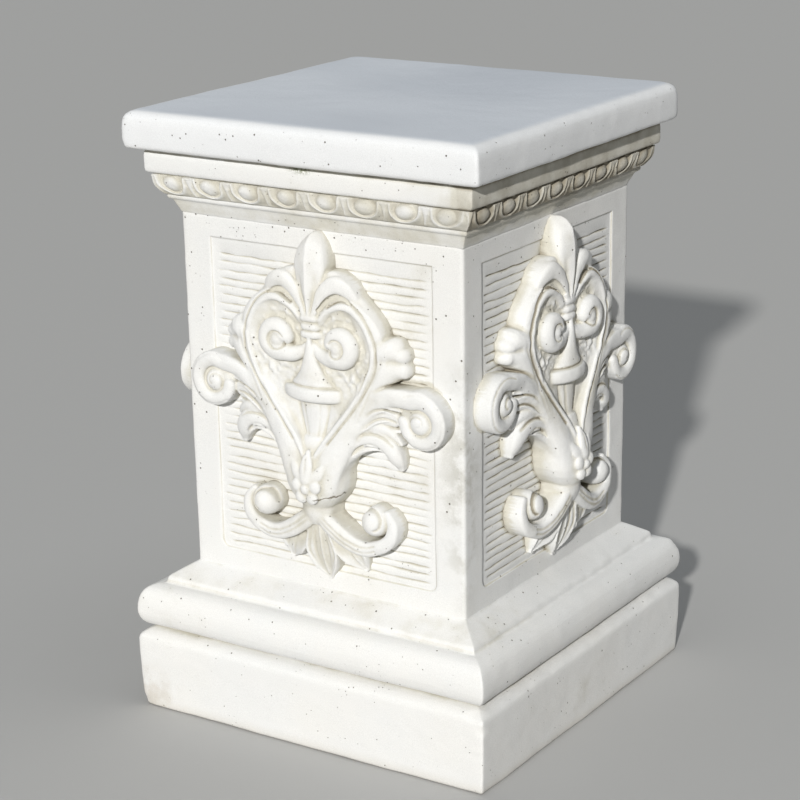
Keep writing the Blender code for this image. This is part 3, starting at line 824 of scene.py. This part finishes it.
def bud():
    """The pointed bud at the top, fluted in its lower half and with a fine rib down its middle."""
    flank = [(6, 303), (11, 296), (14.2, 287), (14.8, 279), (13.4, 268), (10, 256), (6.2, 245), (3, 237)]
    outline = [(0, 307), *flank, (0, 235), *((-x, up) for x, up in reversed(flank))]

    def top(across, up, inner):
        wide = np.interp(up, [235, 245, 256, 268, 279, 290, 300, 307], [3, 6.5, 10.5, 14, 15.6, 14, 8.5, 2])
        share = np.clip(np.abs(across) / wide, 0, 1.2)
        crest = np.interp(up, [235, 260, 285, 298, 304, 308], [20.5, 22.5, 22, 19, 14, 8])
        lower = smooth_step(-up, -278.0, -262.0)
        flute = 1.1 * lower * np.exp(-((share - 0.52) / 0.16) ** 2)
        return crest - 6.0 * share**1.25 - flute + 0.5 * np.exp(-((across / 1.1) ** 2))

    plate(outline, top, 3.2, 0.7)


def knot():
    """Three bands that tie the stems together under the bud."""
    for up, wide in ((236.5, 11.5), (229.4, 10.5), (222.6, 11.0)):
        ridge([(0, up, 3.3, 21.6), (wide * 0.6, up, 3.2, 20.6), (wide, up, 2.6, 15.5)], 0.9, 0.0, 0.5)


def stem():
    """The stem from the knot round to the trunk, with a fine raised rim on its inner side."""
    ridge([
        (9, 234, 3.5, 18), (17, 243.5, 4, 18.5), (26, 249.5, 4.2, 18.5), (34, 251.5, 4.6, 18.5),
        (43, 249, 6, 18.5), (52, 241.5, 8, 18.5), (60, 230, 9, 18.5), (64.5, 212, 9.5, 18.5),
        (62, 189, 10.5, 19), (50, 170, 11, 20), (38, 151, 12, 22), (27, 134, 13, 24.5),
        (18, 116, 13.5, 28), (11, 98, 14, 30),
    ], 0.5, 0.0, 2.0)
    rim = [
        (10, 236, 2.0, 19.5), (17, 243.5, 2.4, 20), (26, 248.6, 2.6, 20.3), (33, 250.4, 2.7, 20.3),
        (42, 248.8, 2.7, 20.2), (53, 240, 2.8, 20), (60.5, 226, 2.8, 20), (62.5, 210, 2.8, 20),
        (59.5, 196, 2.7, 20.3), (49.5, 178, 2.6, 20.8), (36.5, 160.5, 2.5, 22), (25, 147, 2.4, 23.5),
        (13.5, 132.5, 2.3, 26), (5.5, 120, 2.0, 28),
    ]
    ridge(rim, 0.8, 0.0, 0.6)
    line = []
    for x, up, _, _ in rim[1:-1]:
        over = smooth_step(up, 222.0, 240.0) if x > 40 else 1.0
        reach = 3.6 * (1.0 - 0.7 * over) if up > 205 else 3.9
        line.append((x + reach, up + 4.2 * over * (up > 205), 2.4))
    incise(line, 0.80, 8.0, 0.34)


def inner_scroll():
    """The scroll in the crook of the stem: a fat tube wound round a ball."""
    ridge([(3, 213, 3.5, 19.5), (9, 207.5, 5.2, 21.5), (18, 204.8, 7.0, 24)] + spiral(
        (31.5, 216.5), (11.2, 8.6), (-108, 165), (8.4, 7.2), (26.5, 25.5), 9,
    ), 0.9, 0.04, 0.5)
    ball(29.8, 215.4, 17.5, 8.4, 1.0, 0.3)
    incise_spiral((29.8, 215.6), (8.0, 7.6), (-175, 150), 2.0, 9, 0.7, 9.0)


def urn():
    """The small urn between the stems: a flared lid with a thick disc for its rim, over a tapered body."""
    turned([
        (221, 1.4, 21), (213, 3.2, 22), (205, 5.6, 22.4), (197, 8.6, 22.8), (190, 12.6, 23.2),
        (185, 16.8, 23.6), (181, 21.4, 24.2), (178.5, 25, 24.6), (176, 26, 24.6),
    ], 0.58, 0.5)
    turned([
        (178.6, 26.5, 24.2), (177.6, 29.2, 26), (175.8, 30.6, 27), (172, 31.2, 27.4), (169, 30.6, 27),
        (167.2, 29, 26), (166.2, 26.5, 24.2),
    ], 0.60, 0.3)
    incise([(-4, 179.3, 1.5), (10, 179.3, 1.5), (20, 179.2, 1.5), (28, 178.6, 0.8)], 0.7, 14.0)
    turned([
        (168, 19.5, 20), (160, 17.5, 19.5), (150, 14.8, 19), (138, 11, 18.8), (126, 6.8, 19),
        (116, 3.5, 19.5),
    ], 0.62, 0.5)
    for reach in (0.45, 0.86):
        incise([
            (18 * reach, 164, 0.9), (14.8 * reach, 150, 1.2), (11 * reach, 138, 1.0), (5 * reach, 122, 0.3),
        ], 1.0)


def trunk():
    """Where the stems join: a rounded boss with a three-pointed leaf and a rosette on its front."""
    turned([
        (136, 10, 21), (127, 18.5, 24), (118, 24.5, 27.5), (109, 28, 30.5), (100, 29, 32.5),
        (92, 27.5, 33), (85, 24, 32), (79, 19, 29), (75, 14.5, 26.5),
    ], 0.68, 2.5)
    turned([(77, 13, 25), (74.5, 15, 26.2), (68, 14.5, 26), (63, 12.5, 24.5), (58, 9, 22)], 0.72, 0.5)
    ridge([(0, 101, 5.5, 35.5), (0, 109.5, 6.5, 34.8), (0, 117.5, 5, 32.4), (0, 124, 2.2, 29)], 0.5, 0.0, 0.4)
    ridge([
        (3, 101, 4.5, 34.5), (9.5, 105.5, 5.4, 33), (13.5, 111, 4, 30.5), (15.5, 116, 1.8, 28),
    ], 0.5, 0.0, 0.4)
    incise([(0, 104, 0.5), (0, 112, 1.4), (0, 120, 1.0)], 0.8, 18.0)
    ball(0, 93.0, 33.6, 4.6, 0.8, 0.3)
    for i in range(5):
        angle = math.tau * (i / 5) + math.pi / 2
        x, up = 8.8 * math.cos(angle), 93.0 + 8.8 * math.sin(angle)
        if x > -4.0:
            ball(x, up, 32.0, 6.0, 0.62)


def outer_volute():
    """The large scroll beyond the stem, and the fingers of leaf that leave the stem with it."""
    ball(104, 167, 9.5, 20.0, 0.26, 1.0, walled=True)
    branch = [(36, 144, 8, 18), (47, 157, 9, 18.5), (60, 170, 9.5, 19), (75, 182, 9, 19.5)]
    whirl = spiral((104, 167), (20.0, 15.6), (140, -170), (7.2, 5.6), (19.8, 17), 12)
    ridge(branch + whirl[1:], 0.62, 0.0, 0.9)
    ball(103.5, 167, 9.5, 11.0, 0.92, 0.4, walled=True)
    incise_spiral((103.5, 167), (9.0, 2.5), (-150, -420), 1.3, 10, 0.9, 8.0)
    incise_spiral((104, 167), (24.0, 20.5), (120, -130), 1.2, 12, 0.9, 8.0)
    ridge([(38, 142, 9, 15.5), (52, 153, 11, 15.5), (66, 160, 11, 14), (77, 163, 7, 12.5)], 0.4, 0.0, 1.5)
    scooped([
        (38, 150, 5, 19), (51, 162, 6, 19), (65, 171, 6, 18), (77, 174, 4.5, 16), (83, 172.5, 2, 13.5),
    ], 1.8, 0.5, 1.2)
    scooped([
        (38, 144, 5, 19), (52, 154.5, 6, 18.5), (66, 162, 5.5, 17), (77, 163.5, 4, 14.5),
        (82, 162.5, 2, 12),
    ], 1.8, 0.5, 1.2)
    scooped([
        (38, 139, 5, 19), (51, 147.5, 6, 17.5), (64, 153, 5, 15.5), (75, 153.5, 3.6, 12.5),
        (80, 152.5, 2, 10),
    ], 1.8, 0.5, 1.2)
    for rise in (0.0, -8.5, -15.0):
        incise([
            (50, 156.5 + rise, 0.3), (60, 165 + rise, 1.8), (70, 169 + rise, 2.6), (79, 169 + rise, 2.4),
        ], 0.9, 5.0, 0.16)


def hook_leaf():
    """The leaf that leaves the trunk and hooks down below the outer scroll to a rolled tip."""
    ridge([
        (18, 112, 9, 23), (28, 124, 9.5, 20.5), (40, 133.5, 10, 18.5), (53, 139, 10, 18),
        (65, 139, 9.8, 17.5), (73.5, 133, 8.8, 16.5), (77.5, 125, 6.6, 14), (79, 117.5, 3.0, 8.5),
    ], 0.7, 0.08, 1.2)
    ridge([
        (46, 144, 4, 15), (57, 149.5, 5, 16), (68, 150, 5, 15), (77, 146, 3.5, 12), (81, 141.5, 2, 9),
    ], 0.7, 0.0, 0.6)
    gouge([
        (34, 122.5, 0.8, 17.5), (46, 130.8, 2.0, 15.5), (57, 132.5, 2.4, 14.5), (66, 129.5, 2.4, 13),
        (70.5, 121.5, 1.6, 11.5),
    ], 0.7)
    incise([
        (30, 119, 0.5), (43, 131.5, 1.2), (55, 136.5, 1.3), (65, 134, 1.2), (72, 126, 0.6),
    ], 0.9, 6.0, 0.18)
    incise([
        (34, 136, 0.5), (46, 142.5, 2.0), (57, 145.0, 2.2), (68, 144.0, 2.0), (77, 139, 1.0),
    ], 1.0, 6.0, 0.16)


def arm():
    """The arm that curls out and up from under the trunk round a ball."""
    path = [
        (3, 68, 7, 24), (12, 60.5, 7.8, 24.5), (25, 51, 7.8, 23.5), (38, 44.5, 7.2, 22),
        (49, 43, 6.7, 21), (58.4, 45.8, 6.4, 20.5), (66.6, 49.8, 6.0, 20), (72.4, 56.5, 5.6, 19),
        (73.8, 66.5, 5.0, 17.5), (68, 75, 4, 15),
    ]
    ridge(path, 0.60, 0.04, 0.8)
    ball(56.2, 67.6, 9.5, 13.2, 1.06, 0.3, walled=True)
    for offset in (-2.1, 2.3):
        line = [(x, up + offset, 1.5 * smooth_step(x, 4.0, 14.0)) for x, up, _, _ in path[:6]]
        incise(line, 0.85, 6.0, 0.14)
    incise_spiral((56.5, 67.5), (13.6, 6.0), (175, -60), 1.8, 12, 0.95, 9.0, 0.20)


def pendant():
    """The three scooped lobes that hang under the trunk."""
    scooped([
        (8, 62, 7, 20), (17, 50, 10, 18), (26, 38.5, 12, 16), (33, 28, 10.5, 12), (37.5, 18, 2.8, 4.5),
    ], 3.4, 1.2)
    scooped([
        (0, 66, 8, 21), (0, 48, 12, 19.5), (0, 32, 15.5, 16.5), (0, 17, 12, 11.5), (0, 4, 2.2, 4),
    ], 3.8, 1.5)
    for x, top, low in ((5.5, 46, 12), (10.5, 42, 18)):
        incise([(x * 0.5, 58, 0.3), (x, top, 1.2), (x * 1.15, 30, 1.2), (x * 0.7, low, 0.2)], 0.9, dirt_and_shade=0.20)
    incise([(14, 55, 0.3), (22, 45, 1.2), (28, 35, 1.1), (33, 24, 0.2)], 0.9, dirt_and_shade=0.20)
    incise([(20, 54, 0.3), (30, 44, 1.2), (37, 33, 1.0), (39, 25, 0.2)], 0.9, dirt_and_shade=0.20)


FORMS = (
    ground, outer_leaves, outer_volute, hook_leaf, stem, petals, bud, urn, inner_scroll, knot, pendant,
    arm, trunk, creases,
)


def surface(volume, origin):
    """Places and faces of a volume's surface, one place in each cell it crosses, and what is inside."""
    inside = volume < 0
    shape = np.array(volume.shape)
    corners = list(itertools.product((0, 1), repeat=3))
    count = np.zeros(shape - 1, np.uint8)
    for dx, dy, dz in corners:
        count += inside[dx:shape[0] - 1 + dx, dy:shape[1] - 1 + dy, dz:shape[2] - 1 + dz]
    cells = np.argwhere((count > 0) & (count < 8))
    total = np.zeros((len(cells), 3))
    hits = np.zeros(len(cells))
    flat = volume.ravel()
    stride = np.array([shape[1] * shape[2], shape[2], 1])
    base = cells @ stride
    for axis in range(3):
        for first in corners:
            if first[axis]:
                continue
            a = flat[base + np.array(first) @ stride]
            b = flat[base + np.array(first) @ stride + stride[axis]]
            cross = (a < 0) != (b < 0)
            t = np.where(cross, a / np.where(cross, a - b, 1.0), 0.0)
            spot = np.array(first, float)[None, :] + np.eye(3)[axis] * t[:, None]
            total += spot * cross[:, None]
            hits += cross
    places = (cells + total / hits[:, None]) * GRID_PITCH + np.array(origin)
    index = np.full(tuple(shape - 1), -1, np.int64)
    index[tuple(cells.T)] = np.arange(len(cells))
    quads = []
    for axis in range(3):
        one, two = [(1, 2), (2, 0), (0, 1)][axis]
        low = [slice(None)] * 3
        high = [slice(None)] * 3
        low[axis], high[axis] = slice(0, -1), slice(1, None)
        change = inside[tuple(low)].astype(np.int8) - inside[tuple(high)].astype(np.int8)
        for sign in (1, -1):
            edges = np.argwhere(change == sign)
            keep = (edges[:, one] > 0) & (edges[:, two] > 0)
            keep &= (edges[:, one] < shape[one] - 1) & (edges[:, two] < shape[two] - 1)
            edges = edges[keep]
            around = []
            for a, b in ((1, 1), (0, 1), (0, 0), (1, 0)):
                cell = edges.copy()
                cell[:, one] -= a
                cell[:, two] -= b
                around.append(index[tuple(cell.T)])
            quad = np.stack(around, 1)
            quads.append(quad if sign > 0 else quad[:, ::-1])
    return places, np.vstack(quads), inside


def eased(places, faces, share):
    """Places moved part of the way to the middle of their neighbours."""
    count = faces.shape[1]
    pairs = np.vstack([faces[:, [i, (i + 1) % count]] for i in range(count)])
    degree = np.maximum(np.bincount(pairs[:, 0], minlength=len(places)), 1)
    middle = np.stack([
        np.bincount(pairs[:, 0], places[pairs[:, 1], axis], minlength=len(places)) for axis in range(3)
    ], 1) / degree[:, None]
    return places + share * (middle - places)


def box_mean(volume, reach):
    """The mean of a volume over a box of cells around each cell."""
    for axis in range(3):
        padded = np.concatenate([
            np.repeat(volume.take([0], axis), reach + 1, axis), volume,
            np.repeat(volume.take([-1], axis), reach, axis),
        ], axis)
        summed = np.cumsum(padded, axis, dtype=np.float64)
        span = 2 * reach + 1
        upper = summed.take(range(span, summed.shape[axis]), axis)
        lower = summed.take(range(0, summed.shape[axis] - span), axis)
        volume = ((upper - lower) / span).astype(np.float32)
    return volume


def sampled(volume, places, origin):
    """The volume's value at each place, from the cells around it."""
    spot = (places - np.array(origin)) / GRID_PITCH
    top = np.array(volume.shape) - 1.001
    spot = np.clip(spot, 0.0, top)
    cell = spot.astype(np.int64)
    return corner_mean(cell, spot - cell, lambda near: volume[tuple(near.T)])


def on_face(across, up, out):
    """A place of the drawing in millimetres, on the front of the pedestal."""
    level = DIE_FOOT + TIP_GAP + up
    return np.stack([across, -face_half(level) - out, level], 1)


def settled(places, side):
    """The whole carving a little out of true, as the hand left it, and differently on each side."""
    across, up, out = places.T.copy()
    lean = 1.0 + 4.5 * np.clip(1.0 - up / DRAWN_HEIGHT, 0.0, 1.0) ** 1.3
    beside = within(up, 100.0, 140.0, 180.0, 220.0)
    droop = -6.0 * smooth_step(across, 60.0, 100.0) * beside
    rise = 1.5 * smooth_step(-across, 60.0, 100.0) * beside
    spots = places + np.array([0.0, 0.0, side * 400.0])
    sway = np.stack([rough(spots, 60.0, seed) for seed in (51, 52, 53)], 1)
    keep = smooth_step(out, -3.0, 4.0)
    across = across + lean + 1.3 * sway[:, 0]
    up = up + droop + rise + 1.3 * sway[:, 1]
    out = out + keep * (0.8 * sway[:, 2] + 0.34 * rough(spots, 7.0, 54) + 0.16 * rough(spots, 2.8, 55))
    return across, np.clip(up, 0.4, 307.4), out


def thinned(places, quads):
    """The same surface with fewer faces where it is nearly flat, as places and triangles."""
    draft = mesh_object("carving_draft", places, quads)
    thinning = draft.modifiers.new("thinning", "DECIMATE")
    thinning.ratio = KEPT_FACES
    result = bpy.data.meshes.new_from_object(draft.evaluated_get(bpy.context.evaluated_depsgraph_get()))
    result.calc_loop_triangles()
    spots = np.empty(len(result.vertices) * 3, np.float32)
    triangles = np.empty(len(result.loop_triangles) * 3, np.int32)
    result.vertices.foreach_get("co", spots)
    result.loop_triangles.foreach_get("vertices", triangles)
    bpy.data.meshes.remove(draft.data)
    bpy.data.meshes.remove(result)
    return spots.reshape(-1, 3).astype(float) / MM, triangles.reshape(-1, 3)


def build_carving():
    """The drawn carving's places, faces, painted shade and dirt by shelter, and the dirt and painted shade of
    its lines, with the stone near each cell.
    """
    for form in FORMS:
        form()
    field[:, :, 0] = field[:, 0, :] = field[:, -1, :] = field[-1, :, :] = FAR
    whole = np.concatenate([field[:0:-1], field], 0)
    origin = (-axes[0][-1], axes[1][0], axes[2][0])
    places, quads, inside = surface(whole, origin)
    places, triangles = thinned(eased(places, quads, 0.35), quads)
    places = eased(places, triangles, 0.25)
    solid = inside.astype(np.float32)
    solid[:, :, axes[2] < -PANEL_SINK] = 1.0
    near = box_mean(solid, max(1, round(3.2 / GRID_PITCH)))
    wide = box_mean(solid, max(1, round(9.0 / GRID_PITCH)))
    shelter = 0.5 * sampled(near, places, origin) + 0.5 * sampled(wide, places, origin)
    lines = sampled(np.concatenate([line_dirt_and_shade[:0:-1], line_dirt_and_shade], 0), places, origin)
    low = smooth_step(-places[:, 1], -130.0, -60.0)
    # Painted shade and dirt by how much stone stands close, a little more towards the bottom of the carving
    return places, triangles, 1.22 * shelter - 0.06 + 0.06 * low, lines, near, origin


carving, carving_faces, carving_shelter, carving_lines, stone_near, grid_origin = build_carving()


def panel_shelter(across, level):
    """How much of the carving stands close to a place on the face."""
    spots = np.stack([across, level - DIE_FOOT - TIP_GAP, np.full(len(across), 1.5)], 1)
    return np.clip(sampled(stone_near, spots, grid_origin) - 0.45, 0.0, 0.45)


# How dark the fine lines of the carving are on each side: dirt with painted shade, much darker on the +X
# side, which the key light only grazes, and lighter on the front, which it meets head-on
LINE_DIRT_AND_SHADE = (0.6, 2.2, 1.0, 1.0)


def carvings():
    """The carving on each of the four sides, as one piece a side."""
    made = []
    for side in range(SIDES):
        across, up, out = settled(carving, side)
        spots = on_face(across, up, out)
        # Painted shade and dirt by shelter, with the lines' dirt and painted shade for this side
        made.append(mesh_object(
            f"relief_{side}", spots, carving_faces, carving_shelter + LINE_DIRT_AND_SHADE[side] * carving_lines,
            side * math.pi / 2,
        ))
    return made


# Materials

# Colours of the stone and of what lies on it, the soiled and deep ones standing for painted shade as well as
# dirt; a pair is mixed in patches
CLEAN = ((0.805, 0.808, 0.800), (0.825, 0.820, 0.800))
SOILED_AND_SHADED = ((0.690, 0.672, 0.605), (0.625, 0.603, 0.525))
DEEP_DIRT_AND_SHADE = (0.30, 0.265, 0.20)
SLAB = (0.80, 0.815, 0.835)
SLAB_TOP = ((0.580, 0.620, 0.680), (0.680, 0.720, 0.777))
FOOT = (0.60, 0.56, 0.48)
STAIN = (0.55, 0.49, 0.40)
WEAR = (0.52, 0.51, 0.46)
MOSS = (0.16, 0.18, 0.08)
CRACK = (0.20, 0.175, 0.13)
PIT = (0.13, 0.11, 0.075)

# Levels in metres where the slab and its flat top begin
SLAB_LEVEL = 0.5055
TOP_LEVEL = 0.5385


def stone_material():
    """Pale stone with pits, dirt and painted shade in its hollows, a weathered top and a few marks in their
    places.
    """
    material = bpy.data.materials.new("cast_stone_look")
    material.use_nodes = True
    nodes = material.node_tree.nodes
    links = material.node_tree.links
    shader = nodes["Principled BSDF"]

    def made(kind, outlet, inlets, **settings):
        """The outlet of a new node, whose inlets hold numbers or are joined to other nodes."""
        node = nodes.new("ShaderNode" + kind)
        for name, item in settings.items():
            setattr(node, name, item)
        for name, item in inlets.items():
            if isinstance(item, bpy.types.NodeSocket):
                links.new(item, node.inputs[name])
            else:
                node.inputs[name].default_value = item
        return node.outputs[outlet]

    where = made("TexCoord", "Object", {})
    recess = made("Attribute", "Fac", {}, attribute_name="recess")
    x, y, level = made("SeparateXYZ", "X", {"Vector": where}).node.outputs

    def noise(scale, detail, rough_share=0.6):
        return made("TexNoise", "Fac", {
            "Vector": where, "Scale": scale, "Detail": detail, "Roughness": rough_share,
        })

    def ramp(source, low, high, first=0.0, last=1.0):
        return made("MapRange", "Result", {
            "Value": source, "From Min": low, "From Max": high, "To Min": first, "To Max": last,
        }, interpolation_type="SMOOTHSTEP")

    def maths(kind, *items):
        return made("Math", "Value", dict(enumerate(items)), operation=kind)

    def times(first, *others):
        for other in others:
            first = maths("MULTIPLY", first, other)
        return first

    def mixed(share, a, b):
        a, b = (item + (1.0,) if isinstance(item, tuple) else item for item in (a, b))
        return made("Mix", "Result", {"Factor": share, "A": a, "B": b}, data_type="RGBA")

    def centred(source, reach):
        """Noise from 0 to 1 spread evenly about nothing."""
        return times(maths("SUBTRACT", source, 0.5), reach)

    def spot(place, radius, soft, stretch):
        """One round a place of the stone, falling to nothing at a radius."""
        shift = [-a * b for a, b in zip(place, stretch)]
        moved = made("Mapping", "Vector", {"Vector": where, "Location": shift, "Scale": stretch})
        return ramp(made("VectorMath", "Value", {0: moved}, operation="LENGTH"), radius, radius * soft)

    def pits(scale, size, shift):
        """Round holes, each of its own size, with their own scatter for each shift."""
        moved = made("Mapping", "Vector", {"Vector": where, "Location": (shift, shift * 1.7, -shift)})
        tint = made("TexVoronoi", "Color", {"Vector": moved, "Scale": scale, "Randomness": 1.0})
        share = made("SeparateColor", "Green", {"Color": tint})
        width = maths("MULTIPLY_ADD", share, size, size * 0.4)
        return ramp(maths("DIVIDE", tint.node.outputs["Distance"], width), 1.0, 0.6)

    vast = noise(4.0, 1.0)
    broad = noise(9.0, 4.0)
    middling = noise(45.0, 4.0)
    fine = noise(420.0, 3.0, 0.7)
    grain = noise(1500.0, 2.0)

    # The recess attribute holds painted shade as well as dirt; noise adds patches of dirt
    dirt_and_shade = maths("ADD", recess, maths("MULTIPLY_ADD", broad, 0.5, -0.25))
    dirt_and_shade = maths("ADD", dirt_and_shade, centred(middling, 0.30))
    clean = mixed(ramp(broad, 0.35, 0.65), *CLEAN)
    # Soiled and then deep colour where the recess attribute, painted shade with dirt, is high
    soiled_and_shaded = mixed(ramp(middling, 0.3, 0.7), *SOILED_AND_SHADED)
    body = mixed(ramp(dirt_and_shade, 0.46, 0.74), clean, soiled_and_shaded)
    body = mixed(ramp(dirt_and_shade, 0.78, 1.12, 0.0, 0.9), body, DEEP_DIRT_AND_SHADE)

    body = mixed(times(ramp(level, SLAB_LEVEL, 0.512), 0.7), body, SLAB)
    reach = maths("MAXIMUM", maths("ABSOLUTE", x), maths("ABSOLUTE", y))
    top = times(ramp(level, TOP_LEVEL, TOP_LEVEL + 0.001), ramp(reach, 0.173, 0.160), 0.9)
    body = mixed(top, body, mixed(ramp(vast, 0.35, 0.65), *SLAB_TOP))
    body = mixed(ramp(level, 0.012, 0.0, 0.0, 0.35), body, FOOT)

    marks = (
        ((-0.178, -0.180, 0.012), 0.060, 0.1, (1.0, 1.0, 1.5), ramp(middling, 0.35, 0.68), 0.55, STAIN),
        ((0.141, -0.141, 0.25), 0.036, 0.05, (1.0, 1.0, 0.22), ramp(middling, 0.40, 0.62), 0.8, WEAR),
        ((0.0, -0.1625, 0.5035), 0.010, 0.1, (0.6, 1.0, 1.8), ramp(fine, 0.40, 0.55), 0.85, MOSS),
    )
    for place, radius, soft, stretch, ragged, strength, colour in marks:
        body = mixed(times(spot(place, radius, soft, stretch), ragged, strength), body, colour)

    start, start_level = CRACK_START
    line = maths("SUBTRACT", level, times(maths("SUBTRACT", x, start), CRACK_RISE))
    line = maths("ADD", line, centred(noise(160.0, 2.0), 0.006))
    off_line = maths("ABSOLUTE", maths("SUBTRACT", line, start_level))
    crack = times(
        ramp(off_line, 0.00075, 0.00030), ramp(x, start - 0.002, start + 0.001),
        ramp(x, CRACK_END + 0.002, CRACK_END - 0.004), ramp(y, CRACK_FRONT, CRACK_FRONT - 0.002), 0.9,
    )
    body = mixed(crack, body, CRACK)

    small = times(pits(300.0, 0.14, 7.7), ramp(middling, 0.55, 0.66))
    below_top = ramp(level, TOP_LEVEL, TOP_LEVEL - 0.0005)
    holes = times(maths("MAXIMUM", pits(115.0, 0.080, 3.1), small), below_top)
    body = mixed(times(holes, 0.85), body, PIT)
    speck = ramp(grain, 0.30, 0.70, 0.94, 1.04)
    colour = made("VectorMath", "Vector", {0: body, "Scale": speck}, operation="SCALE")

    height = maths("ADD", times(fine, 0.00016), times(grain, 0.00005))
    height = maths("ADD", height, times(middling, 0.00030))
    height = maths("SUBTRACT", height, times(holes, 0.0007))
    bump = made("Bump", "Normal", {"Strength": 1.0, "Distance": 1.0, "Height": height})

    links.new(colour, shader.inputs["Base Color"])
    links.new(ramp(fine, 0.3, 0.7, 0.78, 0.92), shader.inputs["Roughness"])
    links.new(bump, shader.inputs["Normal"])
    shader.inputs["Specular IOR Level"].default_value = 0.35
    return material


def floor_material():
    """A plain matt grey, pale enough to throw some light back on the mouldings."""
    material = bpy.data.materials.new("pale_floor")
    material.use_nodes = True
    shader = material.node_tree.nodes["Principled BSDF"]
    shader.inputs["Base Color"].default_value = (0.48, 0.478, 0.47, 1.0)
    shader.inputs["Roughness"].default_value = 0.9
    return material


# Stage, light and camera

def stage():
    """A plain pale floor just under the foot."""
    bpy.ops.mesh.primitive_plane_add(size=14.0, location=(0.0, 0.0, -0.0005))
    floor = bpy.context.object
    floor.name = "floor"
    floor.data.materials.append(floor_material())


def sun(name, energy, spread, colour, towards):
    """A soft far lamp, whose spread is how wide it looks in degrees."""
    data = bpy.data.lights.new(name, "SUN")
    data.energy = energy
    data.angle = math.radians(spread)
    data.color = colour
    lamp = bpy.data.objects.new(name, data)
    bpy.context.scene.collection.objects.link(lamp)
    lamp.rotation_euler = Vector(towards).to_track_quat("Z", "Y").to_euler()


def lights():
    """A low key light from the left, a wide soft one overhead and a faint sky."""
    sun("key", 3.2, 2.0, (1.0, 0.985, 0.955), (0.33, -0.86, 0.375))
    sun("overhead", 1.00, 60.0, (0.93, 0.97, 1.0), (0.06, 0.0, 1.0))
    world = bpy.data.worlds.new("studio")
    bpy.context.scene.world = world
    world.use_nodes = True
    background = world.node_tree.nodes["Background"]
    background.inputs["Color"].default_value = (0.92, 0.96, 1.0, 1.0)
    background.inputs["Strength"].default_value = 0.045


PHOTO_SIZE = 800
FOCAL_PIXELS = 2302
SENSOR = 36.0


def camera():
    """The photograph's view, as fitted to the corners and level lines of the courses."""
    ahead = Vector((-0.52360508, 0.80002144, -0.29292219))
    right = Vector((0.83929086, 0.54344711, -0.01600295))
    above = Vector((-0.14638501, 0.25422614, 0.95600235))
    data = bpy.data.cameras.new("photo_view")
    data.sensor_width = SENSOR
    data.lens = FOCAL_PIXELS / PHOTO_SIZE * SENSOR
    obj = bpy.data.objects.new("photo_view", data)
    bpy.context.scene.collection.objects.link(obj)
    turn = Matrix((right, above, -ahead)).transposed().to_4x4()
    obj.matrix_world = Matrix.Translation((1.06564518, -1.64813088, 0.86789173)) @ turn
    bpy.context.scene.camera = obj


# Assembly

# Dents by place, radius and depth
SLAB_DENTS = [
    ((176, 176, 536), 11.0, 2.2), ((-176, -176, 509), 8.0, 1.6), ((60, 176, 538), 5.0, 1.2),
    ((176, -60, 509), 6.0, 1.0), ((158, -162, 487), 6.0, 1.2),
]
BASE_DENTS = [
    ((172, -178, 71), 9.0, 2.6), ((180, -181, 58), 6.0, 1.4), ((-178, -178, 3), 9.0, 1.6),
    ((166, -180, 72), 5.0, 1.6), ((180, -150, 70), 5.0, 1.3), ((176, 178, 108), 8.0, 1.4),
]


def build():
    """The pieces of the pedestal in their stone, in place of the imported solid."""
    pieces = [
        finished_course(
            "cornice_and_slab", SLAB_POINTS, 11, SLAB_CORNERS, ((484.0, 487.5), (505.0, 509.5)), SLAB_DENTS,
            (176.2, 440.0, 539.98),
        ),
        finished_course(
            "base_mouldings", BASE_POINTS, 61, BASE_CORNERS, ((67.0, 76.0), (114.0, 122.0)), BASE_DENTS,
            (180.33, 0.0, 140.0),
        ),
        die_shaft(panel_shelter),
        egg_course(),
    ] + carvings()
    stone = stone_material()
    for piece in pieces:
        piece.data.materials.append(stone)
        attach(piece, BODY)
    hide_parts(NODE)


build()
stage()
lights()
camera()
bpy.context.scene.view_settings.view_transform = "Standard"
